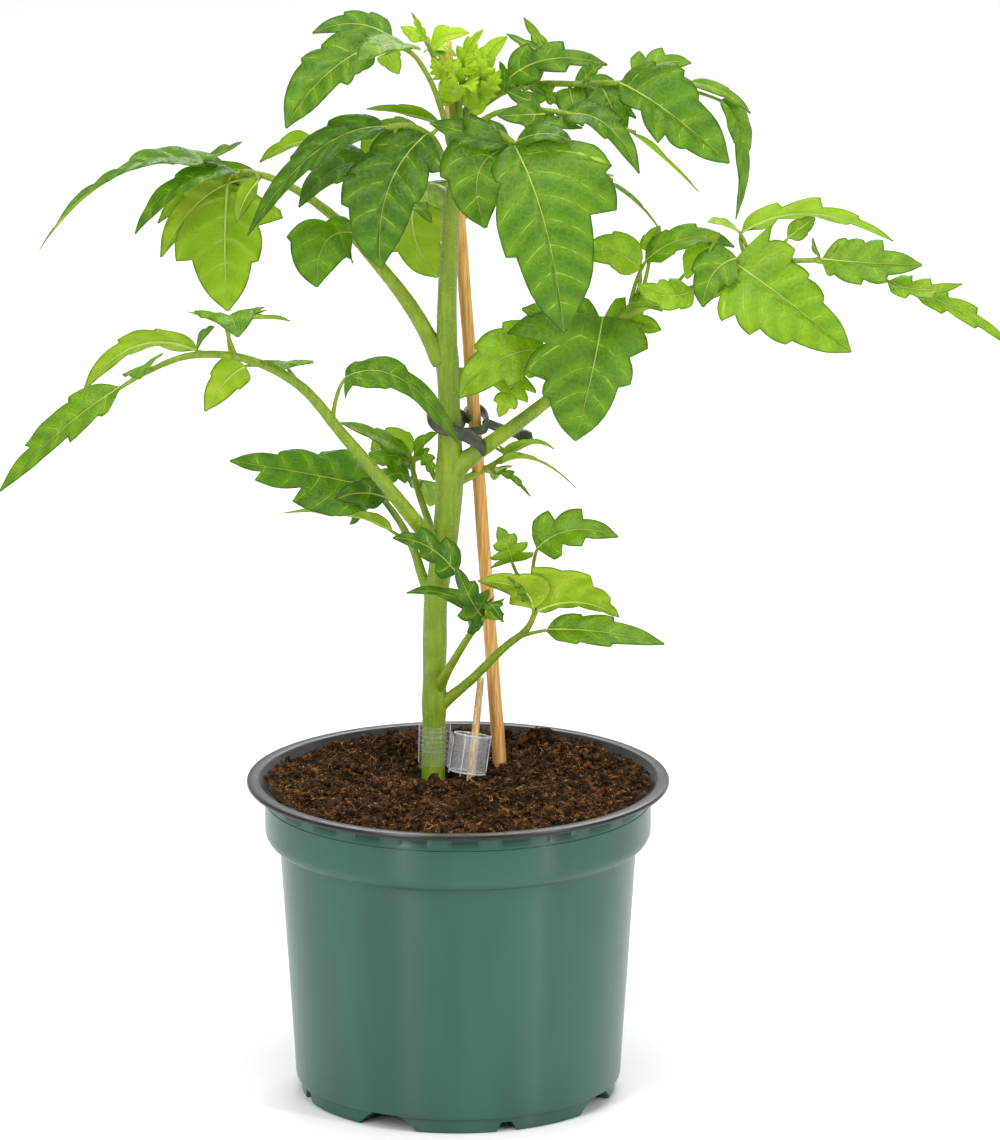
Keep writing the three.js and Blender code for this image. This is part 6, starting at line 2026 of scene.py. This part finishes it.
@dataclass
class Stick:
    """A thin wooden stick between two places in the view."""

    name: str
    node: str
    foot: Place
    top: Place
    foot_radius: float
    top_radius: float
    steps: int = 60

    def path(self) -> Array:
        """The stick's axis with radii."""
        low, high = VIEW.spot(self.foot), VIEW.spot(self.top)
        t = np.linspace(0, 1, self.steps)[:, None]
        radius = self.foot_radius + (self.top_radius - self.foot_radius) * t
        return np.hstack([low + (high - low) * t, radius])

    def build(self, wood: bpy.types.Material) -> None:
        """Make the stick."""
        surface = Surface()
        add_tube(
            surface, self.path(), 20, 0,
            lambda turn, way: 1 + 0.035 * np.cos(turn * 3 + way * 0.02) + 0.02 * np.sin(way * 0.23 + turn),
        )
        surface.piece(self.name, [wood], [self.node])


SHELL_SIDES = 48  # points round a sleeve or a bead
RIBBON_SIDES = 20  # points round a strap


def add_shell(
    surface: Surface, low: Array, high: Array, section: Sequence[tuple[float, float]], finish: int = 0
) -> None:
    """A body turned round the line between two points.

    Args:
        surface: Where it goes.
        low: Its lower end.
        high: Its upper end.
        section: Its closed section: (radius, millimetres up from the lower end), outside upwards first.
        finish: Its material slot.
    """
    run = unit(high - low)
    side = unit(np.cross(run, np.array([0.0, 1.0, 0.0])))
    other = np.cross(run, side)
    turn = circle(SHELL_SIDES)
    ring = side * np.cos(turn)[:, None] + other * np.sin(turn)[:, None]
    closed = [*section, section[0]]
    points = np.array([low + run * up + ring * radius for radius, up in closed])
    surface.add(points.reshape(-1, 3), grid_faces(len(closed), SHELL_SIDES, closed=True)[:, ::-1], finish)


def wall_section(outer: float, inner: float, tall: float) -> list[tuple[float, float]]:
    """Section of a thin sleeve with rounded rims.

    Args:
        outer: Outer radius.
        inner: Inner radius.
        tall: Height.

    Returns:
        The section for add_shell.
    """
    bead = (outer - inner) / 2
    middle = (outer + inner) / 2
    rim = [(math.cos(turn), math.sin(turn)) for turn in np.linspace(0, math.pi, 7)]
    section = [(middle - across * bead * 1.25, bead - up * bead) for across, up in rim]
    section += [(middle + across * bead * 1.25, tall - bead + up * bead) for across, up in rim]
    return section


def add_ribbon(surface: Surface, knots: Sequence[Place], tall: Sequence[float], thick: float) -> None:
    """A strap of rounded section through places in the view.

    Args:
        surface: Where it goes.
        knots: Places in the view.
        tall: Height of the strap at each place.
        thick: Its thickness.
    """
    upright = np.array([0.0, 0.0, 1.0])
    path = smooth_path(np.array([[*VIEW.spot(knot), high] for knot, high in zip(knots, tall)]), 8)
    along = unit(np.gradient(path[:, :3], axis=0))
    up = unit(upright - along * (along @ upright)[:, None])
    out = np.cross(along, up)
    turn = circle(RIBBON_SIDES)
    wide = np.sign(np.cos(turn)) * np.abs(np.cos(turn)) ** 0.5 * thick / 2
    high = np.sign(np.sin(turn)) * np.abs(np.sin(turn)) ** 0.5 / 2
    tall_ring = (high[None, :] * path[:, 3:4])[:, :, None]
    ring = out[:, None, :] * wide[None, :, None] + up[:, None, :] * tall_ring
    points = path[:, None, :3] + ring
    ends = np.array([path[0, :3] - along[0] * thick * 0.4, path[-1, :3] + along[-1] * thick * 0.4])
    surface.add_capped(points, ends)


@dataclass
class GraftClip:
    """The clear clip: a ribbed sleeve round the stem, a sleeve round the short stick, a web and seams.

    Seams are turns from the front, in degrees. aside moves the stick's sleeve towards +X.
    """

    stem_low: Place = (434, 763, 18)
    stem_high: Place = (435, 724, 18)
    stem_wall: tuple[float, float] = (5.1, 4.5)
    stick_low: float = 772.5
    stick_high: float = 736.0
    stick_wall: tuple[float, float] = (6.2, 5.6)
    aside: float = -1.15
    rib_count: int = 5
    rib_first: float = 1.6
    rib_step: float = 1.7
    seams: tuple[float, ...] = (-80.0, -22.0, 84.0)
    stem_seams: tuple[float, ...] = (-92.0, 96.0)
    web_thick: float = 1.4
    web_depths: tuple[float, ...] = (-1.2, 0.2, 1.6)
    web_aside: float = 0.7

    @staticmethod
    def bead(radius: float, up: float, thick: float) -> list[tuple[float, float]]:
        """Section, for add_shell, of a bead of radius thick that runs at a radius and a height."""
        turns = circle(8)
        return [(radius + thick * math.cos(turn), up + thick * math.sin(turn)) for turn in turns]

    def build(
        self, sleeve: bpy.types.Material, wall: bpy.types.Material, rim: bpy.types.Material
    ) -> None:
        """Make the clip.

        Args:
            sleeve: Finish of the thin wall round the stem.
            wall: Finish of the other wall and the web.
            rim: Finish of its rims and seams.
        """
        surface = Surface()
        low, high = VIEW.spot(self.stem_low), VIEW.spot(self.stem_high)
        tall = float(np.linalg.norm(high - low))
        add_shell(surface, low, high, wall_section(*self.stem_wall, tall))
        for number in range(self.rib_count):
            up = tall - self.rib_first - self.rib_step * number
            add_shell(surface, low, high, self.bead(self.stem_wall[0] + 0.15, up, 0.34), 3)
        stick = GRAFT_STICK.path()[:, :3]
        downs = (self.stick_low, self.stick_high)
        levels = [VIEW.spot((self.stem_low[0], down, 16.5))[2] for down in downs]
        foot, head = (
            np.array([np.interp(up, stick[:, 2], stick[:, axis]) for axis in range(3)]) for up in levels
        )
        foot[0] += self.aside - 0.3
        head[0] += self.aside + 0.3
        long = float(np.linalg.norm(head - foot))
        add_shell(surface, foot, head, wall_section(*self.stick_wall, long), 1)
        for up in (0.2, long - 0.2):
            add_shell(surface, foot, head, self.bead(self.stick_wall[0] - 0.2, up, 0.3), 2)
        for base, run, radius, tall_of, seams in (
            (foot, (head - foot) / long, self.stick_wall[0], long, self.seams),
            (low, (high - low) / tall, self.stem_wall[0], tall, self.stem_seams),
        ):
            for seam in seams:
                turn = math.radians(seam)
                out = np.array([math.sin(turn), -math.cos(turn), 0.0]) * (radius + 0.05)
                ups = np.linspace(0.3, tall_of - 0.3, 12)
                ridge = np.array([[*(base + out + run * up), 0.2] for up in ups])
                add_tube(surface, ridge, 10, 2)
        for depth in self.web_depths:
            near, far = low + (high - low) * 0.06, low + (high - low) * 0.86
            bar = np.array([
                [*((near + (far - near) * t) * 0.5 + (foot + (head - foot) * t) * 0.5), self.web_thick / 2]
                for t in np.linspace(0, 0.96, 10)
            ])
            bar[:, 1] += depth
            bar[:, 0] -= self.web_aside
            add_tube(surface, bar, 12, 1)
        surface.piece("graft_clip_clear", [sleeve, wall, rim, sleeve], ["graft_clip"])


@dataclass
class StemClip:
    """The dark clip: a strap round the stem that ends in a tongue, a loop round the stake and a bar."""

    thick: float = 1.3

    def build(self, plastic: bpy.types.Material) -> None:
        """Make the clip.

        Args:
            plastic: Its material.
        """
        surface = Surface()
        strap_tall = (3.0, 3.2, 3.3, 3.4, 3.4, 3.4, 3.6, 4.0, 4.4, 4.6, 4.2, 1.2)
        loop_tall = (2.6, 2.6, 2.8, 2.8, 3.4, 3.6, 3.2, 2.8, 2.6)
        strap = [
            (470, 420, 22.5), (458, 413, 24.4), (447, 408, 24.6), (434, 408, 23), (428.5, 413, 18),
            (431, 421, 13), (441, 429, 11.2), (453, 431, 12), (462, 434, 12.5), (471, 438, 12),
            (479, 444, 11), (484, 455, 10),
        ]
        add_ribbon(surface, strap, strap_tall, self.thick)
        loop = [
            (459, 430, 17), (464, 421, 23.5), (467, 410.5, 31.5), (475, 407, 33), (483, 412, 31.5),
            (487, 421, 27), (484, 429, 23), (475, 431, 21.5), (464, 431.5, 18),
        ]
        add_ribbon(surface, loop, loop_tall, self.thick)
        bar = [(484, 422, 29), (500, 428, 30), (514, 433, 30), (527, 437, 30)]
        add_ribbon(surface, bar, (3.0, 3.0, 3.0, 3.2), 1.7)
        knob = [(519, 434, 30), (524, 436, 30), (530, 438, 30)]
        add_ribbon(surface, knob, (3.6, 4.4, 3.8), 3.0)
        surface.piece("stem_clip_moulded", [plastic], ["stem_clip"])


STAKE = Stick("support_stake_wood", "support_stake", (502, 790, 30), (446, 42, 26.5), 2.3, 2.0)
GRAFT_STICK = Stick("graft_stick_wood", "graft_stick", (467, 815, 14), (481, 678, 22), 1.5, 1.15)


# ---- Studio ----


PLANT_MIDDLE = (0.014, 0.0, 0.18)  # metres


@dataclass(frozen=True)
class Softbox:
    """A rectangular area light aimed at the plant: turn from the front towards +X, and height, in degrees."""

    name: str
    turn: float
    rise: float
    away: float
    size: tuple[float, float]
    power: float

    def build(self) -> None:
        """Make the light."""
        data = bpy.data.lights.new(self.name, "AREA")
        data.shape = "RECTANGLE"
        data.size, data.size_y = self.size
        data.energy = self.power
        lamp = bpy.data.objects.new(self.name, data)
        turn, rise = math.radians(self.turn), math.radians(self.rise)
        aim = Vector(PLANT_MIDDLE)
        spot = aim + self.away * Vector((
            math.sin(turn) * math.cos(rise), -math.cos(turn) * math.cos(rise), math.sin(rise),
        ))
        lamp.location = spot
        lamp.rotation_euler = (aim - spot).to_track_quat("-Z", "Y").to_euler()
        bpy.context.scene.collection.objects.link(lamp)


@dataclass
class Studio:
    """Pale floor, soft lights and the camera at the front view's angle."""

    floor_half: float = 7.0
    sky: float = 0.58
    sensor: float = 36.0
    lamps: tuple[Softbox, ...] = (
        Softbox("key_left", -33, 31, 1.7, (0.22, 1.3), 13),
        Softbox("fill_right", 53, 24, 1.6, (0.14, 1.3), 9),
        Softbox("top", 10, 76, 1.6, (0.9, 0.9), 13),
        Softbox("back", 172, 40, 1.8, (1.0, 1.0), 17),
    )

    def build(self) -> None:
        """Make floor, world, lights and camera, and show colours as they are."""
        bpy.context.scene.view_settings.view_transform = "Standard"
        self.add_floor()
        world = bpy.data.worlds.new("studio")
        world.use_nodes = True
        world.node_tree.nodes["Background"].inputs["Color"].default_value = (1.0, 1.0, 1.0, 1.0)
        world.node_tree.nodes["Background"].inputs["Strength"].default_value = self.sky
        bpy.context.scene.world = world
        for lamp in self.lamps:
            lamp.build()
        self.add_camera()

    def add_floor(self) -> None:
        """Make the floor."""
        half = self.floor_half
        mesh = bpy.data.meshes.new("studio_floor")
        corners = [(-half, -half, 0), (half, -half, 0), (half, half, 0), (-half, half, 0)]
        mesh.from_pydata(corners, [], [(0, 1, 2, 3)])
        mesh.materials.append(FloorFinish().material())
        floor = bpy.data.objects.new("studio_floor", mesh)
        bpy.context.scene.collection.objects.link(floor)

    def add_camera(self) -> None:
        """Make the camera at the front view's place and angle."""
        data = bpy.data.cameras.new("camera")
        data.sensor_width = self.sensor
        data.lens = self.sensor * VIEW.scale * VIEW.distance / max(VIEW.size)
        data.clip_end = 50.0
        camera = bpy.data.objects.new("camera", data)
        camera.location = Vector(VIEW.eye * MM)
        camera.rotation_euler = (math.pi / 2 - VIEW.rise, 0.0, 0.0)
        bpy.context.scene.collection.objects.link(camera)
        bpy.context.scene.camera = camera


# ---- Assembly ----


def write_sizes() -> None:
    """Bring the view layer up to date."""
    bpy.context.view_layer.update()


def main() -> None:
    """Build the plant round its frame."""
    logging.basicConfig(level=logging.INFO, format="%(message)s")
    Studio().build()
    skin = STEM_SKIN.material()
    blades = [BLADE_TOP.material(), BLADE_UNDER.material(), skin, RIB_SKIN.material()]
    green = PotFinish("pot_green", srgb(20, 74, 56), srgb(28, 86, 66))
    # A darker green for the pockets: painted shade under the lip.
    pocket = PotFinish("pot_pocket_painted_shade", srgb(12, 56, 43), srgb(18, 64, 50))
    Pot().build(green.material(), LipFinish().material(), pocket.material())
    Soil().build(
        EarthFinish("peat_bed", srgb(12, 7, 3), srgb(44, 27, 12), srgb(96, 64, 32), 3.2).material(),
        EarthFinish("peat_crumbs", srgb(16, 10, 5), srgb(62, 38, 18), srgb(134, 92, 52), 2.2).material(),
        EarthFinish("peat_fibres", srgb(44, 25, 11), srgb(112, 70, 32), srgb(206, 164, 106), 2.6).material(),
    )
    paths = [Stem().build(skin)]
    fuzz = Surface()
    for number, plan in enumerate(LEAVES):
        paths += Leaf(plan, number + 1).build(blades, fuzz)
    hair = HairFinish().material()
    fuzz.piece("leaf_hairs", [hair])
    Hairs().build(paths, hair)
    STAKE.build(WoodFinish("stake_wood", srgb(250, 206, 132), srgb(216, 146, 68)).material())
    GRAFT_STICK.build(WoodFinish("stick_wood", srgb(248, 222, 170), srgb(190, 140, 86)).material())
    GraftClip().build(
        ClearFinish("clear_sleeve", 0.05).material(),
        ClearFinish("clear_wall", 0.16).material(),
        ClearFinish("clear_rim", 0.5).material(),
    )
    StemClip().build(ClipFinish().material())
    write_sizes()


if __name__ == "__main__":
    main()
